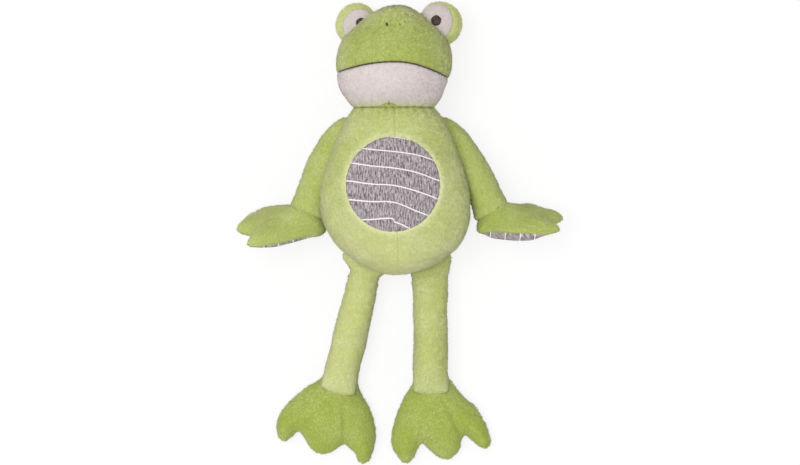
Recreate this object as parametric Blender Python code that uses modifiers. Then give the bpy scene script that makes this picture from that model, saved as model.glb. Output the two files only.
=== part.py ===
"""A plush frog, lying on its back: +Z out of the belly, +Y to the head, +X to the frog's left hand.

The origin is on the flat of the back, under the middle of the torso. Each body part is a stuffed form:
a sewn skin in panels, and a filling inside it. The limbs turn on round or rolled ends that sit in the
torso and in the paws, so that each can move without cutting into its neighbour. Lengths are in metres.
"""

import math

import bmesh
import bpy
from mathutils import Matrix, Vector
from mathutils.bvhtree import BVHTree

X = Vector((1, 0, 0))
Y = Vector((0, 1, 0))
Z = Vector((0, 0, 1))
LEFT = 1
RIGHT = -1
SIDE_NAMES = {LEFT: "left", RIGHT: "right"}

# Cloth, filling and clearances
SKIN = 0.0028
SEAM_GAP = 0.0003
FILLING_GAP = 0.0008
RUNNING_GAP = 0.0002
SWING_GAP = 0.0010
OVERRUN = 0.004
CUTTER_REACH = 0.500
WELD_DISTANCE = 0.000002

# Torso: a pear with a round neck end
TORSO_LENGTH = 0.1430
TORSO_BOTTOM_Y = -0.0690
TORSO_WIDTH = 0.1300
TORSO_DEPTH = 0.0865
TORSO_SEAM_Z = 0.0370
NECK_CENTRE = Vector((0.0005, 0.0594, 0.0400))
NECK_RADIUS = 0.0380
TORSO_SIDES = 12
# Each row: height share of the length, half-width share, front and back shares of the depth
TORSO_END_SHARES = ((0.000, 0.47), (0.985, 0.47))
TORSO_SECTION_SHARES = (
    (0.014, 0.34, 0.66, 0.28),
    (0.070, 0.64, 0.84, 0.14),
    (0.150, 0.84, 0.94, 0.05),
    (0.270, 0.97, 1.00, 0.00),
    (0.420, 1.01, 1.01, -0.01),
    (0.570, 0.97, 1.00, -0.01),
    (0.710, 0.90, 0.97, 0.00),
    (0.830, 0.80, 0.92, 0.01),
    (0.910, 0.69, 0.89, 0.04),
    (0.970, 0.42, 0.76, 0.20),
)

# Belly patch, set flush into the front
PATCH_RADIUS = 0.0400
PATCH_CENTRE = Vector((-0.0018, 0.0090, 0.0))

# Thread rings that tie the head and arms on, each in its own recess
THREAD_RADIUS = 0.0008
THREAD_GAP = 0.0004
THREAD_RING_SIDES = 18
THREAD_SIDES = 4
NECK_RING_RADIUS = 0.0240
SHOULDER_RING_RADIUS = 0.0060

# Head, turned a little to its right and leaning a little to its left
HEAD_LENGTH = 0.0970
HEAD_BOTTOM_Y = 0.0670
HEAD_WIDTH = 0.1010
HEAD_DEPTH = 0.0890
HEAD_TURN = math.radians(-7)
HEAD_LEAN = math.radians(-1.5)
HEAD_SIDES = 12
HEAD_END_SHARES = ((0.000, 0.46), (1.010, 0.47))
HEAD_SECTION_SHARES = (
    (0.045, 0.55, 0.76, 0.16),
    (0.150, 0.80, 0.90, 0.07),
    (0.270, 0.94, 0.98, 0.02),
    (0.460, 1.03, 1.01, -0.01),
    (0.660, 0.98, 0.96, 0.00),
    (0.790, 0.83, 0.89, 0.08),
    (0.890, 0.63, 0.80, 0.18),
    (0.965, 0.36, 0.68, 0.31),
)
HEAD_BACK_SEAM_Z = 0.0300
MOUTH_FRONT_Y = 0.1140
MOUTH_SLOPE = math.radians(15)
MOUTH_CORD_RADIUS = 0.0009
MOUTH_CORD_POINTS = 19
MOUTH_CORD_SPREAD = math.radians(78)
MOUTH_CORD_SINK_SHARE = 0.35

# Eyes and nostrils
EYE_RADIUS = 0.0176
EYE_DEPTH = 0.0260
EYE_SPACING = 0.0740
EYE_HEIGHT_Y = 0.1470
EYE_CENTRE_Z = 0.0310
EYE_SEAM_SHARE = 0.10
EYE_TOE_OUT = math.radians(14)
EYE_LIFT = math.radians(6)
EYE_SKIN = 0.0022
EYE_SEGMENTS = 14
EYE_RINGS = 8
INNER_EYE_SEGMENTS = 8
INNER_EYE_RINGS = 6
PUPIL_RADIUS = 0.0044
PUPIL_THICKNESS = 0.0012
PUPIL_SEGMENTS = 10
PUPIL_RINGS = 4
PUPIL_INWARD = 0.0042
PUPIL_UP = 0.0016
NOSTRIL_RADIUS = 0.0012
NOSTRIL_SPACING = 0.0114
NOSTRIL_CENTRE = Vector((-0.0014, 0.1457, 0.0))

# Arms: a tube from the shoulder to the wrist
ARM_RADIUS = 0.0142
SHOULDER_CENTRES = {
    LEFT: Vector((0.0500, 0.0550, 0.0210)),
    RIGHT: Vector((-0.0505, 0.0550, 0.0210)),
}
WRIST_CENTRES = {
    LEFT: Vector((0.0815, -0.0155, 0.0331)),
    RIGHT: Vector((-0.0785, -0.0172, 0.0331)),
}
ARM_SWING_OUTWARD = math.radians(40)
ARM_SIDES = 6
ARM_GIRTH_SHARES = ((0.00, 0.92), (0.30, 1.04), (0.70, 1.01), (1.00, 0.92))
WRIST_FLEX = (math.radians(-30), math.radians(30))

# Legs: a tube sewn on flat at the hip
LEG_RADIUS = 0.0152
HIP_CENTRES = {
    LEFT: Vector((0.0300, -0.0640, 0.0150)),
    RIGHT: Vector((-0.0250, -0.0640, 0.0150)),
}
ANKLE_CENTRES = {
    LEFT: Vector((0.0305, -0.1574, 0.0180)),
    RIGHT: Vector((-0.0469, -0.1565, 0.0180)),
}
HIP_ROLL_RADIUS = 0.0080
HIP_ROLL_HALF_LENGTH = 0.0165
HIP_LIFT = math.radians(68)
LEG_SIDES = 6
# Each row: share of the length, half-width share and half-depth share of the leg's radius
LEG_SECTION_SHARES = (
    (0.00, 1.10, 0.50),
    (0.14, 1.12, 0.62),
    (0.32, 1.00, 0.84),
    (0.55, 0.98, 0.97),
    (0.80, 1.02, 1.02),
    (1.00, 0.92, 0.92),
)
# The foot's travel: toes down, then toes up
ANKLE_FLEX = (math.radians(-10), math.radians(75))

# Paws: a heel, a palm and three toes, in the foot's size
PAW_DROP = 0.0073
PAW_SEAM_DROP = 0.0090
PAW_LOBE_TWIST = math.radians(7)
PAW_SEGMENTS = 10
PAW_RINGS = 6
INNER_PAW_SEGMENTS = 6
INNER_PAW_RINGS = 4
FILL_HOLE_RADIUS = 0.0070
# Each lobe: toe angle, distance from the ankle, half-length, half-width, half-thickness
PAW_LOBES = (
    (math.radians(0), 0.0030, 0.0190, 0.0185, 0.0111),
    (math.radians(0), 0.0340, 0.0270, 0.0315, 0.0112),
    (math.radians(0), 0.0440, 0.0275, 0.0165, 0.0100),
    (math.radians(28), 0.0470, 0.0300, 0.0140, 0.0090),
    (math.radians(-28), 0.0470, 0.0300, 0.0140, 0.0090),
)
HAND_SCALE = 0.86
HAND_HEADINGS = {LEFT: math.radians(-2), RIGHT: math.radians(188)}
HAND_TILT = math.radians(62)
FOOT_HEADINGS = {LEFT: math.radians(-79.3), RIGHT: math.radians(-103.5)}

# Faces of round forms, as segments and rings: an outer surface, the neck, and a hidden inner one
BALL_FACES = (14, 8)
NECK_FACES = (20, 12)
INNER_BALL_FACES = (10, 5)
ROUND_SIDES = 14
PATCH_SIDES = 30
STITCH_SEGMENTS = 6
STITCH_RINGS = 5


# Making and combining meshes


def start_clean():
    for leftover in list(bpy.data.objects):
        bpy.data.objects.remove(leftover, do_unlink=True)
    parts = bpy.data.collections.new("plush_frog")
    bpy.context.scene.collection.children.link(parts)
    return parts


def object_from(bm, name, smooth=True):
    mesh = bpy.data.meshes.new(name)
    bmesh.ops.recalc_face_normals(bm, faces=bm.faces)
    bm.to_mesh(mesh)
    bm.free()
    obj = bpy.data.objects.new(name, mesh)
    bpy.context.scene.collection.objects.link(obj)
    if smooth:
        mesh.shade_smooth()
    return obj


def baked(obj):
    """The object with its modifiers applied and its place written into its mesh."""
    graph = bpy.context.evaluated_depsgraph_get()
    graph.update()
    mesh = bpy.data.meshes.new_from_object(obj.evaluated_get(graph))
    mesh.transform(obj.matrix_world)
    result = bpy.data.objects.new(obj.name, mesh)
    bpy.context.scene.collection.objects.link(result)
    bpy.data.objects.remove(obj, do_unlink=True)
    return result


def welded(obj, distance=WELD_DISTANCE):
    """The object with corners that all but meet made one."""
    bm = bmesh.new()
    bm.from_mesh(obj.data)
    bmesh.ops.remove_doubles(bm, verts=bm.verts, dist=distance)
    bmesh.ops.dissolve_degenerate(bm, edges=bm.edges, dist=distance)
    bm.to_mesh(obj.data)
    bm.free()
    return obj


def boolean(target, tool, operation, keep_tool=False):
    modifier = target.modifiers.new(operation, "BOOLEAN")
    modifier.operation = operation
    modifier.object = tool
    result = welded(baked(target))
    if not keep_tool:
        bpy.data.objects.remove(tool, do_unlink=True)
    return result


def cut(target, tool, keep_tool=False):
    return boolean(target, tool, "DIFFERENCE", keep_tool)


def joined(target, tool):
    return boolean(target, tool, "UNION")


def kept_inside(target, tool, keep_tool=False):
    return boolean(target, tool, "INTERSECT", keep_tool)


def duplicate(obj):
    twin = bpy.data.objects.new(obj.name, obj.data.copy())
    twin.matrix_world = obj.matrix_world
    bpy.context.scene.collection.objects.link(twin)
    return twin


def frame_matrix(origin, across, along, up):
    """The matrix that carries local x, y and z onto three directions at an origin."""
    turn = Matrix((across, along, up)).transposed().to_4x4()
    return Matrix.Translation(origin) @ turn


def pointing(direction):
    """The turn that carries local z onto a direction."""
    return Z.rotation_difference(direction).to_matrix().to_4x4()


# Shapes


def ball(name, centre, radius, inner=False, faces=BALL_FACES):
    segments, rings = INNER_BALL_FACES if inner else faces
    place = Matrix.Translation(centre)
    return ellipsoid(name, place, (radius, radius, radius), segments, rings)


def facet_depth(segments, rings):
    """How near a ball's flat faces come to its centre, as a share of its radius."""
    return math.cos(math.pi / segments) * math.cos(math.pi / (2 * rings))


def socket_ball(name, centre, radius, inner=False, faces=BALL_FACES):
    """A ball whose flat faces, and not only its corners, lie outside the radius."""
    shrink = facet_depth(*(INNER_BALL_FACES if inner else faces))
    return ball(name, centre, radius / shrink, inner, faces)


def ellipsoid(name, matrix, half_sizes, segments, rings, twist=0):
    """A ball stretched to three half sizes; the twist turns its facets, and not its shape."""
    bm = bmesh.new()
    bmesh.ops.create_uvsphere(bm, u_segments=segments, v_segments=rings, radius=1)
    bmesh.ops.rotate(bm, verts=bm.verts, matrix=Matrix.Rotation(twist, 3, Z))
    bmesh.ops.scale(bm, verts=bm.verts, vec=half_sizes)
    bmesh.ops.transform(bm, verts=bm.verts, matrix=matrix)
    return object_from(bm, name)


def rod(name, start, end, radius, sides=ROUND_SIDES):
    """A straight round bar from one point to another."""
    bm = bmesh.new()
    length = (end - start).length
    bmesh.ops.create_cone(
        bm, cap_ends=True, segments=sides, radius1=radius, radius2=radius, depth=length
    )
    matrix = Matrix.Translation((start + end) / 2) @ pointing((end - start).normalized())
    bmesh.ops.transform(bm, verts=bm.verts, matrix=matrix)
    return object_from(bm, name, smooth=False)


def half_space(name, point, normal):
    """A large block whose one face passes through a point, with its bulk on the normal's side."""
    bm = bmesh.new()
    bmesh.ops.create_cube(bm, size=CUTTER_REACH)
    shift = Matrix.Translation(Z * CUTTER_REACH / 2)
    matrix = Matrix.Translation(point) @ pointing(normal.normalized()) @ shift
    bmesh.ops.transform(bm, verts=bm.verts, matrix=matrix)
    return object_from(bm, name, smooth=False)


def thread_ring(name, centre, axis, radius, thread_radius):
    """A ring of thread: a round section turned about the ring's axis."""
    bm = bmesh.new()
    angles = [2 * math.pi * step / THREAD_SIDES for step in range(THREAD_SIDES)]
    places = [
        Vector((radius + thread_radius * math.cos(angle), 0, thread_radius * math.sin(angle)))
        for angle in angles
    ]
    section = [bm.verts.new(place) for place in places]
    edges = [bm.edges.new((section[step - 1], section[step])) for step in range(THREAD_SIDES)]
    bmesh.ops.spin(
        bm,
        geom=section + edges,
        axis=Z,
        cent=(0, 0, 0),
        angle=2 * math.pi,
        steps=THREAD_RING_SIDES,
        use_merge=True,
        use_duplicate=False,
    )
    matrix = Matrix.Translation(centre) @ pointing(axis.normalized())
    bmesh.ops.transform(bm, verts=bm.verts, matrix=matrix)
    return object_from(bm, name)


def swept_passage(name, centre, directions, radius, inner=False):
    """The space that a round tube sweeps as it turns about its end, from one way to the other."""
    segments, rings = INNER_BALL_FACES if inner else BALL_FACES
    radius = radius / facet_depth(segments, rings)
    bm = bmesh.new()
    bmesh.ops.create_uvsphere(bm, u_segments=segments, v_segments=rings, radius=radius)
    for direction in directions:
        place = Matrix.Translation(direction * CUTTER_REACH / 2) @ pointing(direction)
        bmesh.ops.create_circle(bm, segments=segments, radius=radius, matrix=place)
    places = [centre + vert.co for vert in bm.verts]
    bm.free()
    bm = bmesh.new()
    hull = bmesh.ops.convex_hull(bm, input=[bm.verts.new(place) for place in places])
    spare = [item for item in hull["geom_interior"] if isinstance(item, bmesh.types.BMVert)]
    bmesh.ops.delete(bm, geom=spare, context="VERTS")
    return object_from(bm, name, smooth=False)


def loft(name, sections, first_end, last_end, sides, inner=False):
    """A stuffed form: oval sections in a row, closed at both ends, softened by Subdivision Surface.

    Each section is a centre, two half-axes as vectors. The cage is widened by the share that the
    softening takes back from a ring of this many sides. An inner form keeps its plain cage, split
    along the same diagonals at every inset, so that one can lie inside the next.
    """
    widen = 1 if inner else 3 / (2 + math.cos(2 * math.pi / sides))
    bm = bmesh.new()
    rings = []
    for centre, half_across, half_up in sections:
        ring = []
        for step in range(sides):
            angle = 2 * math.pi * step / sides
            offset = half_across * math.cos(angle) + half_up * math.sin(angle)
            ring.append(bm.verts.new(centre + offset * widen))
        rings.append(ring)
    for ring, following in zip(rings, rings[1:]):
        for step in range(sides):
            corners = (ring[step - 1], ring[step], following[step], following[step - 1])
            bm.faces.new(corners)
    for ring, place in ((rings[0], first_end), (rings[-1], last_end)):
        pole = bm.verts.new(place)
        for step in range(sides):
            bm.faces.new((ring[step - 1], ring[step], pole))
    if inner:
        bmesh.ops.triangulate(bm, faces=bm.faces, quad_method="FIXED")
    obj = object_from(bm, name)
    if not inner:
        soften = obj.modifiers.new("soften", "SUBSURF")
        soften.levels = 1
        soften.render_levels = 1
    return obj


def offset_inward(obj, inset):
    """The form with its surface moved inwards by the inset, or outwards if that is negative."""
    if inset:
        shrink = obj.modifiers.new("inset", "DISPLACE")
        shrink.mid_level = 0
        shrink.strength = -inset
    return baked(obj)


# Torso


def height_sections(shares, length, bottom, width, depth):
    """Oval sections up the Y axis from a table of height, half-width, front and back shares."""
    sections = []
    for height_share, width_share, front_share, back_share in shares:
        middle = (front_share + back_share) / 2 * depth
        centre = Vector((0, bottom + height_share * length, middle))
        half_depth = (front_share - back_share) / 2 * depth
        sections.append((centre, X * width_share * width / 2, Z * half_depth))
    return sections


def end_point(share, length, bottom, depth):
    height_share, depth_share = share
    return Vector((0, bottom + height_share * length, depth_share * depth))


def torso_outline(inset):
    """The pear and its round neck end, cut flat where it rests on its back."""
    sections = height_sections(
        TORSO_SECTION_SHARES, TORSO_LENGTH, TORSO_BOTTOM_Y, TORSO_WIDTH, TORSO_DEPTH
    )
    low_end, high_end = (
        end_point(share, TORSO_LENGTH, TORSO_BOTTOM_Y, TORSO_DEPTH) for share in TORSO_END_SHARES
    )
    pear = loft("torso", sections, low_end, high_end, TORSO_SIDES, inset > 0)
    pear = offset_inward(pear, inset)
    neck = ball("neck", NECK_CENTRE, NECK_RADIUS - inset, inset > 0, NECK_FACES)
    pear = joined(pear, neck)
    floor = half_space("floor", Vector((0, 0, inset)), -Z)
    return cut(pear, floor)


def hip_axis(side):
    """The line of the flat seam at the hip, square to the leg."""
    along = (ANKLE_CENTRES[side] - HIP_CENTRES[side]).normalized()
    return Z.cross(along).normalized()


def hip_roll(side, name, inset):
    """The rolled top edge of a leg, a round bar along the hip seam."""
    half = hip_axis(side) * (HIP_ROLL_HALF_LENGTH - inset)
    centre = HIP_CENTRES[side]
    return rod(name, centre - half, centre + half, HIP_ROLL_RADIUS - inset)


def shoulder_swing_axis(side):
    """The axis that lifts an arm forward and a little outward; it also points out of the torso."""
    along = (WRIST_CENTRES[side] - SHOULDER_CENTRES[side]).normalized()
    outward = X * side * math.sin(ARM_SWING_OUTWARD) + Z * math.cos(ARM_SWING_OUTWARD)
    axis = along.cross(outward).normalized()
    return axis if axis.x * side > 0 else -axis


def shoulder_ring_centre(side):
    """The ring's centre, just far enough in to clear the arm's round top."""
    reach = ARM_RADIUS + SEAM_GAP + THREAD_RADIUS
    distance = math.sqrt(reach**2 - SHOULDER_RING_RADIUS**2)
    return SHOULDER_CENTRES[side] - shoulder_swing_axis(side) * distance


def shoulder_ring_pocket(side):
    """The short round pocket, open to the arm, that the shoulder's ring lies in."""
    axis = shoulder_swing_axis(side)
    back = shoulder_ring_centre(side) - axis * (THREAD_RADIUS + THREAD_GAP)
    front = SHOULDER_CENTRES[side] - axis * (ARM_RADIUS - OVERRUN)
    radius = SHOULDER_RING_RADIUS + THREAD_RADIUS + THREAD_GAP
    return rod("ring_pocket", back, front, radius)


def neck_ring_centre():
    """The neck ring's centre, low enough in the neck's end to stay under its surface."""
    reach = NECK_RADIUS - SEAM_GAP - THREAD_RADIUS
    return NECK_CENTRE + Y * math.sqrt(reach**2 - NECK_RING_RADIUS**2)


def torso_form(inset):
    """The torso with the sockets that its arms and legs turn in."""
    form = torso_outline(inset)
    for side in (LEFT, RIGHT):
        radius = ARM_RADIUS + RUNNING_GAP + inset
        socket = socket_ball("socket", SHOULDER_CENTRES[side], radius, inset > 0)
        form = cut(form, socket)
        form = cut(form, hip_roll(side, "hip_groove", -RUNNING_GAP - inset))
    return form


def torso_parts():
    skin = cut(torso_form(0), torso_form(SKIN))
    filling = torso_form(SKIN + FILLING_GAP)
    for side in (LEFT, RIGHT):
        pocket = shoulder_ring_pocket(side)
        skin = cut(skin, pocket, keep_tool=True)
        filling = cut(filling, pocket)
    groove = thread_ring(
        "groove", neck_ring_centre(), Y, NECK_RING_RADIUS, THREAD_RADIUS + THREAD_GAP
    )
    skin = cut(skin, groove)
    front = cut(duplicate(skin), half_space("back", Z * (TORSO_SEAM_Z + SEAM_GAP / 2), -Z))
    back = cut(skin, half_space("front", Z * (TORSO_SEAM_Z - SEAM_GAP / 2), Z))
    low, high = PATCH_CENTRE + Z * TORSO_SEAM_Z, PATCH_CENTRE + Z * CUTTER_REACH
    opening = rod("opening", low, high, PATCH_RADIUS, PATCH_SIDES)
    blank = rod("blank", low, high, PATCH_RADIUS - SEAM_GAP, PATCH_SIDES)
    patch = kept_inside(duplicate(front), blank)
    front = cut(front, opening)
    left = cut(duplicate(front), half_space("right_half", X * SEAM_GAP / 2, -X))
    right = cut(front, half_space("left_half", -X * SEAM_GAP / 2, X))
    finish(left, "torso_front_left", LIME)
    finish(right, "torso_front_right", LIME)
    finish(back, "torso_back", LIME)
    finish(patch, "belly_patch", GREY)
    finish(filling, "torso_filling", FIBRE)
    ring = thread_ring("ring", neck_ring_centre(), Y, NECK_RING_RADIUS, THREAD_RADIUS)
    finish(ring, "neck_thread", THREAD)
    for side in (LEFT, RIGHT):
        ring = thread_ring(
            "ring",
            shoulder_ring_centre(side),
            shoulder_swing_axis(side),
            SHOULDER_RING_RADIUS,
            THREAD_RADIUS,
        )
        finish(ring, SIDE_NAMES[side] + "_shoulder_thread", THREAD)


# Head


def head_pose():
    """The head's small turn and lean about the middle of the neck."""
    turn = Matrix.Rotation(HEAD_TURN, 4, Y) @ Matrix.Rotation(HEAD_LEAN, 4, Z)
    return Matrix.Translation(NECK_CENTRE) @ turn @ Matrix.Translation(-NECK_CENTRE)


def head_outline(inset):
    sections = height_sections(
        HEAD_SECTION_SHARES, HEAD_LENGTH, HEAD_BOTTOM_Y, HEAD_WIDTH, HEAD_DEPTH
    )
    low_end, high_end = (
        end_point(share, HEAD_LENGTH, HEAD_BOTTOM_Y, HEAD_DEPTH) for share in HEAD_END_SHARES
    )
    form = loft("head", sections, low_end, high_end, HEAD_SIDES, inset > 0)
    form.matrix_world = head_pose()
    bpy.context.view_layer.update()
    form = offset_inward(form, inset)
    return cut(form, half_space("floor", Z * inset, -Z))


def head_form(inset):
    """The head, hollowed to ride on the torso's round neck end and clear of the shoulders."""
    form = head_outline(inset)
    radius = NECK_RADIUS + RUNNING_GAP + inset
    form = cut(form, socket_ball("neck_socket", NECK_CENTRE, radius, inset > 0, NECK_FACES))
    return cut(form, torso_outline(-SWING_GAP - inset))


def mouth_plane():
    """A point on the mouth's seam, and the direction square to it, towards the crown."""
    pose = head_pose()
    point = pose @ Vector((0, MOUTH_FRONT_Y, HEAD_DEPTH))
    normal = pose.to_3x3() @ Vector((0, math.cos(MOUTH_SLOPE), -math.sin(MOUTH_SLOPE)))
    return point, normal


def surface_of(obj):
    """A tree that rays are cast on, from the object's own mesh."""
    bm = bmesh.new()
    bm.from_mesh(obj.data)
    tree = BVHTree.FromBMesh(bm)
    bm.free()
    return tree


def mouth_path(surface):
    """Points on the head along the mouth's seam, from one cheek round the front to the other."""
    seam_point, normal = mouth_plane()
    middle = head_pose() @ Vector((0, MOUTH_FRONT_Y, HEAD_DEPTH / 2))
    middle = middle - normal * (middle - seam_point).dot(normal)
    across = (head_pose().to_3x3() @ X).normalized()
    ahead = across.cross(normal).normalized()
    points = []
    for step in range(MOUTH_CORD_POINTS):
        angle = MOUTH_CORD_SPREAD * (2 * step / (MOUTH_CORD_POINTS - 1) - 1)
        ray = across * math.sin(angle) + ahead * math.cos(angle)
        place = surface.ray_cast(middle, ray)[0]
        points.append(place - ray * MOUTH_CORD_RADIUS * MOUTH_CORD_SINK_SHARE)
    return points


def tube(name, points, radius):
    curve = bpy.data.curves.new(name, "CURVE")
    curve.dimensions = "3D"
    curve.bevel_depth = radius
    curve.bevel_resolution = 1
    curve.use_fill_caps = True
    spline = curve.splines.new("POLY")
    spline.points.add(len(points) - 1)
    for spot, place in zip(spline.points, points):
        spot.co = (*place, 1)
    holder = bpy.data.objects.new(name, curve)
    bpy.context.scene.collection.objects.link(holder)
    return welded(baked(holder))


def eye_matrix(side):
    """An eye's place and turn: local z faces forward, out and up."""
    centre = Vector((side * EYE_SPACING / 2, EYE_HEIGHT_Y, EYE_CENTRE_Z))
    turn = Matrix.Rotation(side * EYE_TOE_OUT, 4, Y) @ Matrix.Rotation(-EYE_LIFT, 4, X)
    return head_pose() @ Matrix.Translation(centre) @ turn


def eye_form(side, inset):
    half_sizes = (EYE_RADIUS - inset, EYE_RADIUS - inset, EYE_DEPTH / 2 - inset)
    segments, rings = (INNER_EYE_SEGMENTS, INNER_EYE_RINGS) if inset else (EYE_SEGMENTS, EYE_RINGS)
    form = ellipsoid("eye", eye_matrix(side), half_sizes, segments, rings)
    return cut(form, head_outline(-SEAM_GAP - inset))


def eye_parts(side):
    """A sewn knob: green behind, white in front, filled, with a stitched pupil."""
    matrix = eye_matrix(side)
    ahead = (matrix.to_3x3() @ Z).normalized()
    seam = matrix @ Vector((0, 0, EYE_DEPTH * EYE_SEAM_SHARE))
    skin = cut(eye_form(side, 0), eye_form(side, EYE_SKIN))
    white = cut(duplicate(skin), half_space("behind", seam + ahead * SEAM_GAP / 2, -ahead))
    green = cut(skin, half_space("before", seam - ahead * SEAM_GAP / 2, ahead))
    spot = matrix @ Vector((-side * PUPIL_INWARD, PUPIL_UP, 0))
    place, facing = surface_of(white).ray_cast(spot + ahead * EYE_DEPTH, -ahead)[:2]
    turn = Matrix.Translation(place) @ pointing(facing)
    half_sizes = (PUPIL_RADIUS, PUPIL_RADIUS, PUPIL_THICKNESS)
    pupil = ellipsoid("pupil", turn, half_sizes, PUPIL_SEGMENTS, PUPIL_RINGS)
    pupil = cut(pupil, head_outline(-SEAM_GAP))
    grown = tuple(size + SEAM_GAP for size in half_sizes)
    seat = ellipsoid("seat", turn, grown, PUPIL_SEGMENTS, PUPIL_RINGS)
    name = SIDE_NAMES[side] + "_eye"
    finish(cut(white, seat), name + "_white", WHITE)
    finish(green, name + "_back", LIME)
    finish(eye_form(side, EYE_SKIN + FILLING_GAP), name + "_filling", FIBRE)
    finish(pupil, SIDE_NAMES[side] + "_pupil", BROWN)


def nostril(side, surface):
    place = NOSTRIL_CENTRE + X * side * NOSTRIL_SPACING / 2 + Z * CUTTER_REACH
    return surface.ray_cast(place, -Z)[0]


def stitch_knot(name, side, surface, radius):
    place = Matrix.Translation(nostril(side, surface))
    return ellipsoid(name, place, (radius, radius, radius), STITCH_SEGMENTS, STITCH_RINGS)


def head_parts():
    whole = head_form(0)
    surface = surface_of(whole)
    skin = cut(whole, head_form(SKIN))
    path = mouth_path(surface)
    skin = cut(skin, tube("cord_bed", path, MOUTH_CORD_RADIUS + SEAM_GAP))
    for side in (LEFT, RIGHT):
        skin = cut(skin, stitch_knot("bed", side, surface, NOSTRIL_RADIUS + SEAM_GAP))
    front = cut(duplicate(skin), half_space("back", Z * (HEAD_BACK_SEAM_Z + SEAM_GAP / 2), -Z))
    back = cut(skin, half_space("front", Z * (HEAD_BACK_SEAM_Z - SEAM_GAP / 2), Z))
    seam, upward = mouth_plane()
    crown = cut(duplicate(front), half_space("below", seam + upward * SEAM_GAP / 2, -upward))
    neck_wall = NECK_RADIUS + RUNNING_GAP + SKIN + OVERRUN
    crown = cut(crown, socket_ball("neck_wall", NECK_CENTRE, neck_wall, inner=True))
    jaw = cut(front, half_space("above", seam - upward * SEAM_GAP / 2, upward))
    finish(crown, "head_crown", LIME)
    finish(jaw, "head_jaw", WHITE)
    finish(back, "head_back", LIME)
    finish(head_form(SKIN + FILLING_GAP), "head_filling", FIBRE)
    finish(tube("mouth", path, MOUTH_CORD_RADIUS), "mouth_cord", BROWN)
    for side in (LEFT, RIGHT):
        knot = stitch_knot("knot", side, surface, NOSTRIL_RADIUS)
        finish(knot, SIDE_NAMES[side] + "_nostril_stitch", BROWN)
        eye_parts(side)


# Arms and legs


def turned(obj, centre, axis, angle):
    """The object turned in place about an axis through a centre."""
    turn = Matrix.Rotation(angle, 4, axis)
    obj.data.transform(Matrix.Translation(centre) @ turn @ Matrix.Translation(-centre))
    return obj


def arm_form(side, inset):
    """A tube with round ends, pressed flat where it lies against the torso."""
    start, end = SHOULDER_CENTRES[side], WRIST_CENTRES[side]
    along = (end - start).normalized()
    across = along.cross(Z).normalized()
    up = across.cross(along)
    sections = []
    for length_share, girth_share in ARM_GIRTH_SHARES:
        radius = ARM_RADIUS * girth_share
        sections.append((start.lerp(end, length_share), across * radius, up * radius))
    first, last = start - along * ARM_RADIUS / 2, end + along * ARM_RADIUS / 2
    form = loft("arm", sections, first, last, ARM_SIDES, inset > 0)
    form = offset_inward(form, inset)
    form = joined(form, ball("wrist", end, ARM_RADIUS - inset, inset > 0))
    form = cut(form, torso_outline(-SWING_GAP - inset))
    return joined(form, ball("shoulder", start, ARM_RADIUS - inset, inset > 0))


def leg_form(side, inset):
    """A round tube that flattens to a rolled edge at the hip."""
    start, end = HIP_CENTRES[side], ANKLE_CENTRES[side]
    along = (end - start).normalized()
    across = hip_axis(side)
    up = across.cross(along)
    sections = []
    for length_share, width_share, depth_share in LEG_SECTION_SHARES:
        centre = start.lerp(end, length_share)
        sections.append((centre, across * LEG_RADIUS * width_share, up * LEG_RADIUS * depth_share))
    form = loft("leg", sections, start, end + along * LEG_RADIUS / 2, LEG_SIDES, inset > 0)
    form = offset_inward(form, inset)
    torso = torso_outline(-SWING_GAP - inset)
    form = cut(form, torso, keep_tool=True)
    form = cut(form, turned(torso, start, across, HIP_LIFT))
    form = joined(form, hip_roll(side, "hip", inset))
    return joined(form, ball("ankle", end, LEG_RADIUS - inset, inset > 0))


def tube_limb_parts(name, form, paw):
    """The tube's skin, left open inside the paw, where the filling was pushed in."""
    ahead = (paw.to_3x3() @ X).normalized()
    start = paw.translation
    hole = rod("fill_hole", start, start + ahead * CUTTER_REACH / 2, FILL_HOLE_RADIUS)
    skin = cut(cut(form(0), form(SKIN)), hole)
    finish(skin, name + "_skin", LIME)
    finish(form(SKIN + FILLING_GAP), name + "_filling", FIBRE)


# Paws


def paw_form(matrix, size, joint_radius, ways, inset):
    """Heel, palm and three toes in one, hollowed for the round end of the limb and its travel."""
    segments, rings = (INNER_PAW_SEGMENTS, INNER_PAW_RINGS) if inset else (PAW_SEGMENTS, PAW_RINGS)
    level = matrix @ Matrix.Translation(-Z * PAW_DROP * size)
    form = None
    for number, lobe_row in enumerate(PAW_LOBES):
        angle, distance, *halves = lobe_row
        place = level @ Matrix.Rotation(angle, 4, Z) @ Matrix.Translation(X * distance * size)
        half_sizes = tuple(half * size - inset for half in halves)
        lobe = ellipsoid("lobe", place, half_sizes, segments, rings, PAW_LOBE_TWIST * number)
        form = joined(form, lobe) if form else lobe
    reach = joint_radius + RUNNING_GAP + inset
    form = cut(form, swept_passage("passage", matrix.translation, ways, reach, inset > 0))
    return cut(form, half_space("floor", Z * inset, -Z))


def paw_parts(name, matrix, size, joint_radius, ways):
    def form(inset):
        return paw_form(matrix, size, joint_radius, ways, inset)

    skin = cut(form(0), form(SKIN))
    up = (matrix.to_3x3() @ Z).normalized()
    seam = matrix @ (-Z * PAW_SEAM_DROP * size)
    top = cut(duplicate(skin), half_space("below", seam + up * SEAM_GAP / 2, -up))
    sole = cut(skin, half_space("above", seam - up * SEAM_GAP / 2, up))
    finish(top, name + "_top", LIME)
    finish(sole, name + "_sole", GREY)
    finish(form(SKIN + FILLING_GAP), name + "_filling", FIBRE)


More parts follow.
